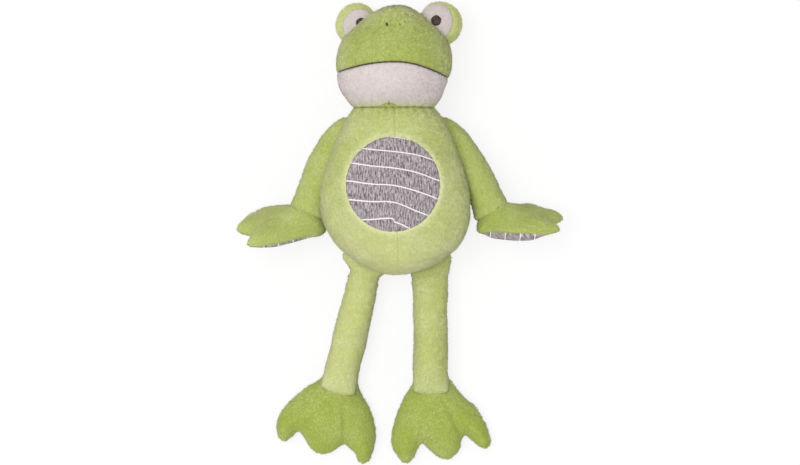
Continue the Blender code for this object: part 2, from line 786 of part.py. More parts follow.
def hand_matrix(side):
    """A hand's frame: x to the fingertips, z out of the back of the hand."""
    heading = HAND_HEADINGS[side]
    ahead = X * math.cos(heading) + Y * math.sin(heading)
    level = Z.cross(ahead) * side
    up = level * math.sin(HAND_TILT) + Z * math.cos(HAND_TILT)
    return frame_matrix(WRIST_CENTRES[side], ahead, up.cross(ahead), up)


def foot_matrix(side):
    heading = FOOT_HEADINGS[side]
    ahead = X * math.cos(heading) + Y * math.sin(heading)
    return frame_matrix(ANKLE_CENTRES[side], ahead, Z.cross(ahead), Z)


def limb_ways(matrix, root, flex):
    """How the limb lies from its paw, at each limit of the joint between them."""
    way = (root - matrix.translation).normalized()
    axis = (matrix.to_3x3() @ Y).normalized()
    return [Matrix.Rotation(angle, 3, axis) @ way for angle in flex]


def paws(side):
    name = SIDE_NAMES[side]
    foot, hand = foot_matrix(side), hand_matrix(side)
    leg_ways = limb_ways(foot, HIP_CENTRES[side], ANKLE_FLEX)
    arm_ways = limb_ways(hand, SHOULDER_CENTRES[side], WRIST_FLEX)
    paw_parts(name + "_foot", foot, 1, LEG_RADIUS, leg_ways)
    paw_parts(name + "_hand", hand, HAND_SCALE, ARM_RADIUS, arm_ways)


# Materials and finishing


def cloth(name, colour, roughness):
    material = bpy.data.materials.new(name)
    material.use_nodes = True
    shader = material.node_tree.nodes["Principled BSDF"]
    shader.inputs["Base Color"].default_value = (*colour, 1)
    shader.inputs["Roughness"].default_value = roughness
    shader.inputs["Metallic"].default_value = 0
    return material


def finish(obj, name, material):
    """Names a piece, gives it its material and puts it with the parts."""
    obj.name = name
    obj.data.name = name
    obj.data.materials.clear()
    obj.data.materials.append(material)
    obj.data.shade_smooth()
    obj.data.set_sharp_from_angle(angle=math.radians(40))
    bpy.context.scene.collection.objects.unlink(obj)
    PARTS.objects.link(obj)


PARTS = start_clean()
LIME = cloth("lime_plush", (0.42, 0.52, 0.14), 0.95)
WHITE = cloth("white_plush", (0.72, 0.66, 0.65), 0.95)
GREY = cloth("grey_jersey", (0.27, 0.24, 0.27), 0.9)
BROWN = cloth("brown_yarn", (0.035, 0.022, 0.018), 0.8)
THREAD = cloth("green_thread", (0.30, 0.36, 0.12), 0.8)
FIBRE = cloth("polyester_fibre", (0.80, 0.80, 0.78), 1.0)

torso_parts()
head_parts()
for body_side in (LEFT, RIGHT):
    limb = SIDE_NAMES[body_side]
    tube_limb_parts(
        limb + "_arm", lambda inset: arm_form(body_side, inset), hand_matrix(body_side)
    )
    tube_limb_parts(
        limb + "_leg", lambda inset: leg_form(body_side, inset), foot_matrix(body_side)
    )
    paws(body_side)
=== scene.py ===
import math
from functools import partialmethod

import bpy
import numpy as np
from mathutils import Matrix, Vector


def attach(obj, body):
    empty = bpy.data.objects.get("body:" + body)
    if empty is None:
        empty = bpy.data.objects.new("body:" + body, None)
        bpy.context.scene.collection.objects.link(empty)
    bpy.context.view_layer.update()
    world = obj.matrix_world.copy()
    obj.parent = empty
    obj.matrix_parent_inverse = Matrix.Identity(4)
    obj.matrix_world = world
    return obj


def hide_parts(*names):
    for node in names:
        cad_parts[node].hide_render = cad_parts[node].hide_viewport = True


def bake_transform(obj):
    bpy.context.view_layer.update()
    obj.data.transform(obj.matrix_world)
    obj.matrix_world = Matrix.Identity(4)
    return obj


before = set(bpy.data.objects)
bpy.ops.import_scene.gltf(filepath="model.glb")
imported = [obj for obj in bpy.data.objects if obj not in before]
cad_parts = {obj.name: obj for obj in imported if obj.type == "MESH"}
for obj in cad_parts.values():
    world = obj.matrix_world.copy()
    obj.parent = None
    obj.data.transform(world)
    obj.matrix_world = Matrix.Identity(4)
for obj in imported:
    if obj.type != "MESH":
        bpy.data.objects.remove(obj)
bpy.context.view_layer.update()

# The looks of the plush frog: short lime pile over stuffed forms, a pale jaw, striped grey jersey on
# the belly, palms and soles, and stitched pupils, nostrils and mouth. Each skin is a grid of points
# of two shares, worked out as whole arrays, given a wall inwards and covered with small tufts.
# Tables are in millimetres and everything else is in metres.

MM = 0.001
LEFT, RIGHT = 1, -1
SIDES = {LEFT: "left", RIGHT: "right"}
# the height of skins on the floor, and the lowest of a tuft's foot, of its tip and of the stuffing
FLOOR, TUFT_FLOOR, TIP_FLOOR, STUFFING_FLOOR = 0.0008, 0.0002, 0.0003, 0.0035
TUFT_SINK = 0.0003
# the thickness of a skin and of an eye's skin, and how full the pieces are
WALL, EYE_WALL, FILL = 0.0024, 0.0016, 0.8
# the length of a pucker along a seam and of a stitch along a cord
PUCKER, STITCH = 0.0061, 0.0042
# the bake map's boxes, left, right, low and high: the outer and the inner skin, the wall's first
# edge, with the step up to its next, and the tufts
SKIN_BOX, INNER_BOX = (0.01, 0.99, 0.53, 0.99), (0.01, 0.49, 0.43, 0.52)
EDGE_BOX, TUFT_BOX = (0.51, 0.99, 0.43, 0.447), (0.005, 0.995, 0.005, 0.42)
EDGE_STEP = 0.022
MIDDLE_Z = 0.04
NECK = Vector((0.0005, 0.0594, MIDDLE_Z))


def turned_by(degrees, axis):
    return Matrix.Rotation(math.radians(degrees), 4, axis)


HEAD_POSE = Matrix.Translation(NECK) @ turned_by(-7, "Y") @ turned_by(-1.5, "Z") @ Matrix.Translation(-NECK)

# height, left, right, front and back of the torso and of the head
TORSO_ROWS = (
    (81, -24, 24, 60, 26),
    (74.5, -33.6, 32.4, 70, 16),
    (68, -39.2, 38.2, 75, 7.5),
    (61.1, -43.6, 42.6, 78, 3),
    (49.7, -48.6, 48.2, 79.8, 1),
    (32.5, -55, 54, 84, -0.5),
    (12.5, -61.2, 60.6, 86.3, -1),
    (-8.9, -64.4, 64.1, 87.2, -1),
    (-30.4, -58.4, 61.4, 86.2, -0.5),
    (-47.5, -46.6, 51.6, 81, 4),
    (-59, -31.5, 36.5, 72.5, 12),
    (-67, -13, 16, 57, 24),
)
HEAD_ROWS = (
    (157.5, -14.5, 16, 64, 24),
    (151.5, -24, 25, 72, 15),
    (143.6, -33.5, 34, 79, 7),
    (131.6, -45.2, 44.2, 85.2, 0),
    (121.9, -48.8, 47.6, 88.4, -1),
    (109.9, -50.2, 47.8, 89.8, -1),
    (97.9, -49.2, 45, 88.6, 0),
    (89.3, -46.8, 42, 85.4, 3),
    (82.4, -42.6, 39.2, 80.4, 6),
    (76.5, -37.6, 35.2, 74, 11),
    (71.4, -31, 30, 66, 17),
)
# the height of the mouth at places across the head
MOUTH_LINE = (
    (-60, 102.6), (-47.6, 104.8), (-28.7, 109.2), (-4.1, 111.8),
    (12.9, 110.8), (26.1, 107.2), (44.1, 100.2), (60, 94.6),
)
PATCH_CENTRE, PATCH_RADIUS = (-1.9, 7.8), 41.0
# fades: the pale ring's outwards round the patch and upwards, and the two sides of the band of painted shade
# at the neck
HALO_FADE, HALO_RISE = (0.0405, 0.047), (0.04, 0.05)
NECK_IN, NECK_OUT = (0.0718, 0.0742), (0.0752, 0.0768)
# the jaw's green fringe: its fade, the line of painted shade below it along the neck seam, and the line's
# peak at the gathering stitch
FRINGE, NECK_LINE, GATHER_X, GATHER_PEAK = (0.076, 0.083), 0.0739, -0.0055, 0.0026
# the white rows of the belly's jersey: a place across, and the height of each row there
STRIPES = (
    (-38.9, 53.1, 40, 26.3, 10.6, -5.3, -23, -40),
    (-20, 50.5, 37.5, 23.4, 7.9, -7, -22.2, -40),
    (-1, 47.9, 35.6, 21.5, 6.7, -7.7, -21.6, -40),
    (17.9, 44.6, 32.9, 17.9, 2, -15, -30.1, -49),
    (36.8, 37.7, 27, 11, -4.8, -22.1, -38.9, -56),
)


# ---- grids of points

def along_rows(rows, place):
    """A table's columns at these places: a smooth cubic through its rows, held at the ends."""
    rows = np.asarray(rows, float)
    rows = rows[np.argsort(rows[:, 0])]
    knots, values = rows[:, 0], rows[:, 1:]
    slopes = np.gradient(values, knots, axis=0)
    place = np.clip(place, knots[0], knots[-1])
    k = np.clip(np.searchsorted(knots, place) - 1, 0, len(knots) - 2)
    span = (knots[k + 1] - knots[k])[..., None]
    t = (place - knots[k])[..., None] / span
    start = (1 + 2 * t) * (1 - t) ** 2 * values[k] + t * (1 - t) ** 2 * span * slopes[k]
    end = t**2 * (3 - 2 * t) * values[k + 1] + t**2 * (t - 1) * span * slopes[k + 1]
    return start + end


class Stuffed:
    """A form round the Y axis with elliptic sections. Its height runs down as the cosine of the
    share, and its sections grow as the sine, so that both ends close roundly."""

    def __init__(self, rows, top, bottom):
        rows = np.asarray(rows, float) * MM
        self.top, self.bottom = top * MM, bottom * MM
        share = self.share_at(rows[:, 0])
        swell = np.sin(np.pi * share)
        left, right, front, back = rows[:, 1:].T
        across, half = (left + right) / 2, (right - left) / 2
        deep, half_deep = (front + back) / 2, (front - back) / 2
        self.rows = np.stack([share, across, half / swell, deep, half_deep / swell], 1)
        self.middle = np.array([0, (self.top + self.bottom) / 2, rows[:, 3].max() / 2])

    def share_at(self, y):
        depth = (self.top - np.asarray(y)) / (self.top - self.bottom)
        return np.arccos(np.clip(1 - 2 * depth, -1, 1)) / np.pi

    def sections(self, share):
        """The middle and half size of the sections, across and deep, at these shares."""
        across, half, deep, half_deep = np.moveaxis(along_rows(self.rows, share), -1, 0)
        swell = np.sin(np.pi * np.clip(share, 0, 1))
        return across, half * swell, deep, half_deep * swell

    def points(self, angle, share):
        """Points at an angle round from the front, in degrees, and a share of the way down."""
        across, half, deep, half_deep = self.sections(share)
        turn = np.radians(angle)
        y = self.top + (self.bottom - self.top) * (1 - np.cos(np.pi * share)) / 2
        return np.stack([across + half * np.sin(turn), y, deep + half_deep * np.cos(turn)], -1)

    def front(self, x, y):
        """The points of the front straight ahead of these places."""
        across, half, deep, half_deep = self.sections(self.share_at(y))
        side = np.clip((x - across) / half, -0.98, 0.98)
        return np.stack([x, y, deep + half_deep * np.sqrt(1 - side**2)], -1)


def shares(down, round_):
    """Two grids of shares from 0 to 1: down the rows and along them."""
    return np.meshgrid(np.linspace(0, 1, down), np.linspace(0, 1, round_), indexing="ij")


def between(low, high, share):
    return low + (high - low) * share


def rising(value, low, high):
    """A smooth step from 0 at low to 1 at high."""
    share = np.clip((value - low) / (high - low), 0, 1)
    return share * share * (3 - 2 * share)


def unit(vectors):
    return vectors / np.maximum(np.linalg.norm(vectors, axis=-1, keepdims=True), 1e-12)


def slopes_of(points, wrap):
    """The steps from row to row and from column to column of a grid, centred."""
    down = np.gradient(points, axis=0)
    if not wrap:
        return down, np.gradient(points, axis=1)
    ring = np.concatenate([points[:, -2:-1], points, points[:, 1:2]], 1)
    return down, (ring[:, 2:] - ring[:, :-2]) / 2


def closed(grid):
    """A grid with its last column made its first again, in place."""
    grid[:, -1] = grid[:, 0]
    return grid


def is_pole(row):
    return np.ptp(row, axis=0).max() < 1e-7


def outward(points, away, wrap):
    """A grid's unit normals, turned away from a point inside, with the mean of the next row where a
    row closes to a pole. Also whether they were turned."""
    down, across = slopes_of(points, wrap)
    normals = np.cross(across, down)
    for row, near in ((0, 1), (-1, -2)):
        if is_pole(points[row]):
            normals[row] = unit(normals[near]).mean(0)
    normals = unit(normals)
    turned = ((points - away) * normals).sum() < 0
    return (-normals if turned else normals), turned


def lumps(points, size, seed, waves=7):
    """Soft unevenness from about -1 to 1: the mean of sine waves of about this length."""
    random = np.random.default_rng(seed)
    ways = unit(random.normal(size=(waves, 3))) * (2 * np.pi / size) * random.uniform(0.7, 1.4, (waves, 1))
    starts = random.uniform(0, 2 * np.pi, waves)
    return np.sin(points @ ways.T + starts).mean(-1) * 1.8


def run_along(points, axis=0):
    """How far each point lies along its line, or along its row or column of a grid."""
    steps = np.cumsum(np.linalg.norm(np.diff(points, axis=axis), axis=-1), axis)
    return np.concatenate([np.zeros_like(np.take(steps, [0], axis)), steps], axis)


def from_edges(points):
    """How far each point of a grid lies, along its row or column, from each of its four edges."""
    gaps = {}
    for first, last, axis in (("top", "bottom", 0), ("start", "end", 1)):
        gaps[first] = run = run_along(points, axis)
        gaps[last] = np.take(run, [-1], axis) - run
    return gaps


def rested(points, soft=0.0012, sink=0.0003):
    """Points pressed up to the floor, by the smooth larger of two heights, and sunk a little."""
    points = points.copy()
    above = points[..., 2] - FLOOR
    points[..., 2] = FLOOR + (above + np.sqrt(above**2 + soft**2)) / 2 - sink
    return points


def moved(matrix, points):
    turn = np.array(matrix)
    return points @ turn[:3, :3].T + turn[:3, 3]


# ---- meshes

def closed_faces(down, round_, wrap, turned, walled=True):
    """The triangles of a grid, of its copy inwards, whose points follow its own, and of the wall
    between their edges, with a place on the bake map for each corner."""
    count = down * round_
    number = np.arange(count).reshape(down, round_)
    v, u = shares(down, round_)
    flat = np.stack([u, v], -1).reshape(-1, 2)
    quads = [number[:-1, :-1], number[:-1, 1:], number[1:, 1:], number[1:, :-1]]
    quads = np.stack(quads, -1).reshape(-1, 4)
    places = flat[quads]
    faces, maps = [quads], [boxed(places, *SKIN_BOX)]
    if walled:
        faces.append(quads[:, ::-1] + count)
        maps.append(boxed(places[:, ::-1], *INNER_BOX))
        edges = [(number[0, :-1], number[0, 1:]), (number[-1, 1:], number[-1, :-1])]
        if not wrap:
            edges += [(number[:-1, -1], number[1:, -1]), (number[1:, 0], number[:-1, 0])]
        for order, (a, b) in enumerate(edges):
            faces.append(np.stack([b, a, a + count, b + count], -1))
            run = np.linspace(0, 1, len(a) + 1)
            strip = np.stack([run[1:], run[:-1], run[:-1], run[1:]], -1)
            rise = np.broadcast_to([0, 0, 1, 1], strip.shape)
            maps.append(boxed(np.stack([strip, rise], -1), *EDGE_BOX) + (0, order * EDGE_STEP))
    faces, maps = np.concatenate(faces), np.concatenate(maps)
    if turned:
        faces, maps = faces[:, ::-1], maps[:, ::-1]
    corners = np.array([[0, 1, 2], [0, 2, 3]])
    return faces[:, corners].reshape(-1, 3), maps[:, corners].reshape(-1, 3, 2)


def boxed(places, left, right, low, high):
    """Places of a unit square fitted into a box of the bake map."""
    return np.array([left, low]) + places * np.array([right - left, high - low])


def merged(points, faces, maps, extra):
    """The same surface with its equal points made one, which closes seams and poles, and without
    the faces that this flattens."""
    steps = np.round(points / 2e-7).astype(np.int64)
    _, first, again = np.unique(steps, axis=0, return_index=True, return_inverse=True)
    faces = again.reshape(-1)[faces]
    a, b, c = faces.T
    whole = (a != b) & (b != c) & (c != a)
    return points[first], faces[whole], maps[whole], {k: a[first] for k, a in extra.items()}


def tufts(points, normals, ways, pile, keep, seed):
    """Short pile. Roots are spread evenly over the grid, and each tuft is a closed point of three
    sides: a triangle sunk round its root, and a tip that leans along the given ways with a little
    chance. Returns points, faces, and each point's share up the pile, shade and normal."""
    random = np.random.default_rng(seed)
    corner = points[:-1, :-1]
    area = np.linalg.norm(np.cross(points[:-1, 1:] - corner, points[1:, :-1] - corner), axis=-1)
    total = np.cumsum(area.ravel())
    wanted = int(total[-1] / pile["spacing"] ** 2)
    cell = np.minimum(np.searchsorted(total, random.random(wanted) * total[-1]), area.size - 1)
    i, j = np.unravel_index(cell, area.shape)
    a, b = random.random((2, wanted, 1))

    def at(grid):
        upper = grid[i, j] * (1 - b) + grid[i, j + 1] * b
        return upper * (1 - a) + (grid[i + 1, j] * (1 - b) + grid[i + 1, j + 1] * b) * a

    root, up, way = at(points), unit(at(normals)), at(ways)
    if keep is not None:
        kept = keep(root)
        root, up, way = root[kept], up[kept], way[kept]
    count = len(root)

    def chance(low, high):
        return random.uniform(low, high, (count, 1))

    way = unit(way - up * (way * up).sum(-1, keepdims=True))
    lean = np.radians(pile["lean"]) * chance(0.75, 1.15)
    side = np.cross(up, way)
    way = unit(way + side * random.normal(0, pile["stray"], (count, 1)))
    length = pile["length"] * chance(0.7, 1.2)
    turn = chance(0, 2 * np.pi) + np.array([[0, 2 * np.pi / 3, 4 * np.pi / 3]])
    width = pile["width"] * chance(0.8, 1.25)
    ring = side[:, None] * (np.cos(turn) * width)[..., None]
    ring = ring + way[:, None] * (np.sin(turn) * width)[..., None]
    base = root[:, None] - up[:, None] * TUFT_SINK + ring
    tip = root + (up * np.cos(lean) + way * np.sin(lean)) * length
    tip[:, 2] = np.maximum(tip[:, 2], TIP_FLOOR)
    base[..., 2] = np.maximum(base[..., 2], TUFT_FLOOR)
    made = np.concatenate([base, tip[:, None]], 1).reshape(-1, 3)
    order = np.array([[0, 2, 1], [0, 1, 3], [1, 2, 3], [2, 0, 3]])
    # the ring turns from side to way, which is clockwise seen from outside
    faces = (np.arange(count)[:, None, None] * 4 + order[:, ::-1]).reshape(-1, 3)
    height = np.tile([0.0, 0, 0, 1], count)
    shade = np.repeat(random.random(count), 4)
    return made, faces, height, shade, np.repeat(up, 4, axis=0)


def tuft_maps(count):
    """A cell of the bake map for each tuft: its three sides round the tip, and its foot in a corner."""
    wide = math.ceil(math.sqrt(count * 2.4))
    high = math.ceil(count / wide)
    number = np.arange(count)
    a, b, c, tip = (0.08, 0.05), (0.95, 0.05), (0.55, 0.95), (0.53, 0.35)
    foot = (0.05, 0.45), (0.3, 0.95), (0.05, 0.95)
    cell = np.array([foot, (a, b, tip), (b, c, tip), (c, a, tip)])[:, ::-1]
    origin = np.stack([number % wide, number // wide], -1)[:, None, None]
    return boxed((origin + cell) / np.array([wide, high]), *TUFT_BOX).reshape(-1, 3, 2)


def added(name, data):
    """A new object in the scene."""
    thing = bpy.data.objects.new(name, data)
    bpy.context.scene.collection.objects.link(thing)
    return thing


def piece(name, points, faces, maps, finish, extra, normals=None):
    """A smooth mesh object with its bake map and its values per point. Pile, the last points, takes
    the given normals, the skin's under it, so that it shades as one nap."""
    mesh = bpy.data.meshes.new(name)
    mesh.vertices.add(len(points))
    mesh.loops.add(faces.size)
    mesh.polygons.add(len(faces))
    mesh.vertices.foreach_set("co", points.astype(np.float32).ravel())
    mesh.loops.foreach_set("vertex_index", faces.astype(np.int32).ravel())
    mesh.polygons.foreach_set("loop_start", np.arange(0, faces.size, 3, dtype=np.int32))
    mesh.update(calc_edges=True)
    mesh.shade_smooth()
    mesh.uv_layers.new(name="OFBake").uv.foreach_set("vector", maps.astype(np.float32).ravel())
    for key, values in extra.items():
        kind, slot = ("FLOAT_VECTOR", "vector") if values.ndim == 2 else ("FLOAT", "value")
        data = mesh.attributes.new(key, kind, "POINT").data
        data.foreach_set(slot, values.astype(np.float32).ravel())
    if normals is not None:
        own = np.empty(len(points) * 3, np.float32)
        mesh.vertices.foreach_get("normal", own)
        own = own.reshape(-1, 3)
        own[-len(normals):] = normals
        mesh.normals_split_custom_set_from_vertices(own)
    mesh.materials.append(finish)
    return added(name, mesh)


def joined(thing, body, node):
    """Gives a piece its body, or bakes its place into its points where it is given two bodies and two
    places, and hides the node that it stands for, if any.
    """
    if isinstance(body, str):
        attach(thing, body)
    else:
        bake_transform(thing)
    if node:
        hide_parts(node)


def sewn(name, points, away, finish, body, *, wrap=False, pinch=None, folds=None, pile=None, keep=None,
         ways=None, wall=WALL, uneven=0.0005, seed=1, weave=None, floor=True, painted_light=0.0):
    """One sewn panel of skin, named as the node it stands for: a grid of points made uneven, drawn
    in along its seams with small puckers, pressed to the floor, walled inwards and covered with
    pile. pinch gives seams and how deep and wide each is drawn in. The last argument, a value or a
    function of the points, is painted light on the nap, and more light is painted as sheen where
    the skin turns sideways."""
    normals = outward(points, away, wrap)[0]
    shift = uneven * lumps(points, 0.03, 5) + uneven * 0.2 * lumps(points, 0.013, 9)
    if folds is not None:
        shift = shift + folds(points)
    gaps = from_edges(points)
    for edge, (deep, wide) in (pinch or {}).items():
        along = gaps["start" if edge in ("top", "bottom") else "top"]
        pucker = 1 + 0.28 * np.sin(along / PUCKER * 2 * np.pi + 1.3 * np.sin(along / 0.017))
        shift = shift - deep * pucker * np.exp(-((gaps[edge] / wide) ** 2))
    for row in (0, -1):
        if is_pole(points[row]):
            shift[row] = shift[row].mean()
    if wrap:
        closed(shift)
    points = points + normals * shift[..., None]
    if floor:
        points = rested(points)
    normals, turned = outward(points, away, wrap)
    down, round_ = points.shape[:2]
    skin = points.reshape(-1, 3)
    if wall:
        inner = points - normals * wall
        inner[..., 2] = np.maximum(inner[..., 2], FLOOR)
        if wrap:
            closed(inner)
        skin = np.concatenate([skin, inner.reshape(-1, 3)])
    faces, maps = closed_faces(down, round_, wrap, turned, bool(wall))
    extra = {} if weave is None else {"weave": np.resize(weave, skin.shape)}
    skin, faces, maps, extra = merged(skin, faces, maps, extra)
    nap = None
    if pile:
        if ways is None:
            ways = slopes_of(points, wrap)[0]
        made, more, height, shade, nap = tufts(points, normals, ways, pile, keep, seed)
        maps = np.concatenate([maps, tuft_maps(len(made) // 4)])
        faces = np.concatenate([faces, more + len(skin)])
        plain = np.ones(len(skin))
        side = 1 - np.clip(np.append(plain, nap[:, 2]), 0, 1)
        skin = np.concatenate([skin, made])
        level = painted_light(skin) if callable(painted_light) else painted_light
        y, z = skin[:, 1], skin[:, 2]
        extra = {
            "height": np.append(plain * 0, height),
            "shade": np.append(plain / 2, shade),
            # painted light on the nap, with more of it where the skin turns sideways
            "painted_light": np.clip(level + 0.3 * side, 0, 1),
            # painted sheen: the share of the rim's colour, which grows where the skin turns sideways
            "rim_sheen": side**1.5,
            "halo": (1 - rising(from_patch(skin), *HALO_FADE)) * rising(z, *HALO_RISE),
            # where the band of painted shade at the neck lies
            "neck": rising(y, *NECK_IN) * (1 - rising(y, *NECK_OUT)),
        }
    thing = piece(name, skin, faces, maps, finish, extra, nap)
    joined(thing, body, name)


def stuffing(name, points, away, body):
    """The loose fibre inside a skin: a closed grid of points, gently uneven."""
    normals = outward(points, away, True)[0]
    points = points + normals * (0.0006 * lumps(points, 0.016, 8))[..., None]
    points[..., 2] = np.maximum(points[..., 2], STUFFING_FLOOR)
    closed(points)
    points[0], points[-1] = points[0].mean(0), points[-1].mean(0)
    turned = outward(points, away, True)[1]
    faces, maps = closed_faces(*points.shape[:2], True, turned, False)
    flat, faces, maps, extra = merged(points.reshape(-1, 3), faces, maps, {})
    thing = piece(name, flat, faces, maps, FIBRE, extra)
    joined(thing, body, name)


def shrunk(points, middle, share):
    return middle + (points - middle) * share


# ---- materials

def paint(*values):
    """A colour from its red, green and blue as the eye reads them, from 0 to 255."""
    values = [value / 255 for value in values]
    return (*(((c + 0.055) / 1.055) ** 2.4 if c > 10 / 255 else c / 12.92 for c in values), 1)


class Wire:
    """A node's output. Arithmetic on wires and numbers adds Math nodes."""

    def __init__(self, finish, socket):
        self.finish, self.socket = finish, socket

    def maths(self, operation, other):
        return self.finish.add("Math", {0: self, 1: other}, {"operation": operation})

    __add__ = __radd__ = partialmethod(maths, "ADD")
    __mul__ = __rmul__ = partialmethod(maths, "MULTIPLY")
    __sub__, __pow__ = partialmethod(maths, "SUBTRACT"), partialmethod(maths, "POWER")
    least = partialmethod(maths, "MINIMUM")
    # how far a value is from the nearest whole number, from 0 to a half
    to_whole = partialmethod(maths, "PINGPONG", 0.5)

    def __rsub__(self, other):
        return self.finish.add("Math", {0: other, 1: self}, {"operation": "SUBTRACT"})

    def ramp(self, low, high):
        """0 below low and 1 above high, smoothly."""
        smooth = {"interpolation_type": "SMOOTHSTEP"}
        return self.finish.add("MapRange", {0: self, 1: low, 2: high}, smooth)


class Finish:
    """A material, or the world, that is being wired up."""

    def __init__(self, name, kind="Material"):
        owners = bpy.data.materials if kind == "Material" else bpy.data.worlds
        self.owner, self.kind = owners.new(name), kind
        self.owner.use_nodes = True
        self.tree = self.owner.node_tree
        self.tree.nodes.clear()
        self.place = self.add("TexCoord", out="Object")

    def add(self, kind, values=None, settings=None, out=0):
        """The wanted output of a new shader node, with its settings, and then each input set from a
        number, a colour or a wire."""
        node = self.tree.nodes.new("ShaderNode" + kind)
        for key, value in (settings or {}).items():
            setattr(node, key, value)
        for key, value in (values or {}).items():
            if isinstance(value, Wire):
                self.tree.links.new(value.socket, node.inputs[key])
            else:
                node.inputs[key].default_value = value
        return Wire(self, node.outputs[out])

    def noise(self, scale, detail=2.0, place=None, rough=0.5):
        values = {"Vector": place or self.place, "Scale": scale, "Detail": detail, "Roughness": rough}
        return self.add("TexNoise", values)

    def value(self, name, out="Fac"):
        return self.add("Attribute", None, {"attribute_name": name}, out)

    def blend(self, share, first, second):
        return self.add("Mix", {0: share, 6: first, 7: second}, {"data_type": "RGBA"}, out=2)

    def parts(self, vector):
        node = self.add("SeparateXYZ", {0: vector}).socket.node
        return [Wire(self, socket) for socket in node.outputs]

    def stretched(self, place, size):
        return self.add("Mapping", {"Vector": place, "Scale": size})

    def done(self, colour, rough, sheen, gloss, bump, **more):
        """The finished material. bump is a height, its strength and its distance."""
        bump = self.add("Bump", dict(zip(("Height", "Strength", "Distance"), bump)), out="Normal")
        values = {"Base Color": colour, "Roughness": rough, "Sheen Weight": sheen}
        values.update({"Specular IOR Level": gloss, "Normal": bump}, **more)
        return self.ended(self.add("BsdfPrincipled", values))

    def ended(self, shader):
        end = self.tree.nodes.new("ShaderNodeOutput" + self.kind)
        self.tree.links.new(shader.socket, end.inputs["Surface"])
        return self.owner


def plush(name, deep, soft, rim_sheen, sheen, halo=None, fringe=None):
    """Short pile: each of two tones is a root colour, darkened as painted shade deep in the pile,
    and a darker and a lighter tip, brushed into broad areas with a fine grain. The nap's painted
    light turns the deeper tone into the softer one, and where the skin turns sideways the colour
    turns towards the rim's, a painted sheen. halo pales the pile near the belly patch and brings a
    band of painted shade where the neck is gathered; fringe greens the jaw's lower edge and brings
    a line of painted shade along the neck seam."""
    f = Finish(name)
    brushed = f.noise(34.0, rough=0.55).ramp(0.34, 0.68)
    grain = f.noise(520.0, 1.0).ramp(0.3, 0.75)
    share = brushed * 0.75 + grain * 0.25
    # painted shade: the pile is darker at its roots and lighter towards the tips
    up = (f.value("height") * 0.75 + grain * 0.3 + f.value("shade") * 0.25).least(1.0)
    tones = [f.blend(up, root, f.blend(share, dark, light)) for root, dark, light in (deep, soft)]
    # the nap's painted light blends the deeper tone into the softer one
    # the rim's painted sheen is laid over where the skin turns sideways
    colour = f.blend(f.value("rim_sheen") * 0.42, f.blend(f.value("painted_light"), *tones), rim_sheen)
    if halo:
        colour = f.blend(f.value("halo") * 0.5, colour, halo)
        # painted shade: a dark olive band on the pile under the jaw
        colour = f.blend(f.value("neck") * 0.6, colour, NECK_SHADE)
    if fringe:
        x, y, _ = f.parts(f.place)
        near = 1 - (y + f.noise(300.0) * 0.003).ramp(*FRINGE)
        colour = f.blend(near * 0.8, colour, fringe)
        peak = (1 - ((x - GATHER_X) ** 2).ramp(0.0, 0.00007)) * GATHER_PEAK
        rise = y - NECK_LINE - peak
        colour = f.blend(1 - rise.ramp(-0.0006, 0.0004), colour, paint(192, 200, 124))
        # painted shade: a dark olive line along the neck seam
        colour = f.blend((1 - (rise**2).ramp(0.0, 5e-7)) * 0.6, colour, NECK_SHADE)
    nap = {"Sheen Roughness": 0.45, "Sheen Tint": soft[2]}
    return f.done(colour, 0.85, sheen, 0.15, (f.noise(900.0), 0.35, 0.0006), **nap)


def jersey():
    """Grey heather knit: streaks, fine columns, and white rows where the weave's third value is whole."""
    f = Finish("grey_jersey")
    weave = f.value("weave", "Vector")
    across, along, row = f.parts(weave)
    streak = f.noise(1.0, 3.0, f.stretched(weave, (950, 150, 0)), 0.7).ramp(0.36, 0.64)
    fleck = f.noise(1.0, 2.0, f.stretched(weave, (620, 380, 0)), 0.7).ramp(0.35, 0.7)
    tone = streak * 0.62 + fleck * 0.38
    colour = f.blend(tone, paint(74, 66, 78), paint(208, 196, 198))
    wobble = f.noise(1.0, 1.0, f.stretched(weave, (260, 60, 0)))
    away = (row + (wobble - 0.5) * 0.012).to_whole()
    line = 1 - away.ramp(0.026, 0.044)
    colour = f.blend(line, colour, paint(244, 234, 234))
    knit = (across * 1250.0).to_whole() + (along * 900.0).to_whole()
    return f.done(colour, 0.9, 0.1, 0.2, (knit, 0.25, 0.0003))


def yarn(name, dark, light, fine):
    """Thread: two close tones in fine turns."""
    f = Finish(name)
    turn = f.noise(1.0, 2.0, f.stretched(f.place, fine)).ramp(0.35, 0.65)
    return f.done(f.blend(turn, dark, light), 0.55, 0.15, 0.35, (turn, 0.4, 0.0003))


# the first colour is painted shade for the neck seam
# the second colour is painted sheen: the khaki that the pile shows where it turns sideways
NECK_SHADE, RIM_SHEEN_COLOUR = paint(122, 128, 58), paint(204, 200, 150)
# each tone: a root colour darkened as painted shade deep in the pile, then a darker and a lighter tip
DEEP_TONE = paint(147, 164, 65), paint(185, 200, 96), paint(211, 220, 140)
SOFT_TONE = paint(198, 206, 128), paint(223, 227, 162), paint(241, 242, 204)
JAW_TONE = paint(211, 198, 197), paint(226, 215, 215), paint(235, 227, 227)
EYE_TONE = paint(202, 190, 187), paint(214, 205, 201), paint(226, 217, 212)
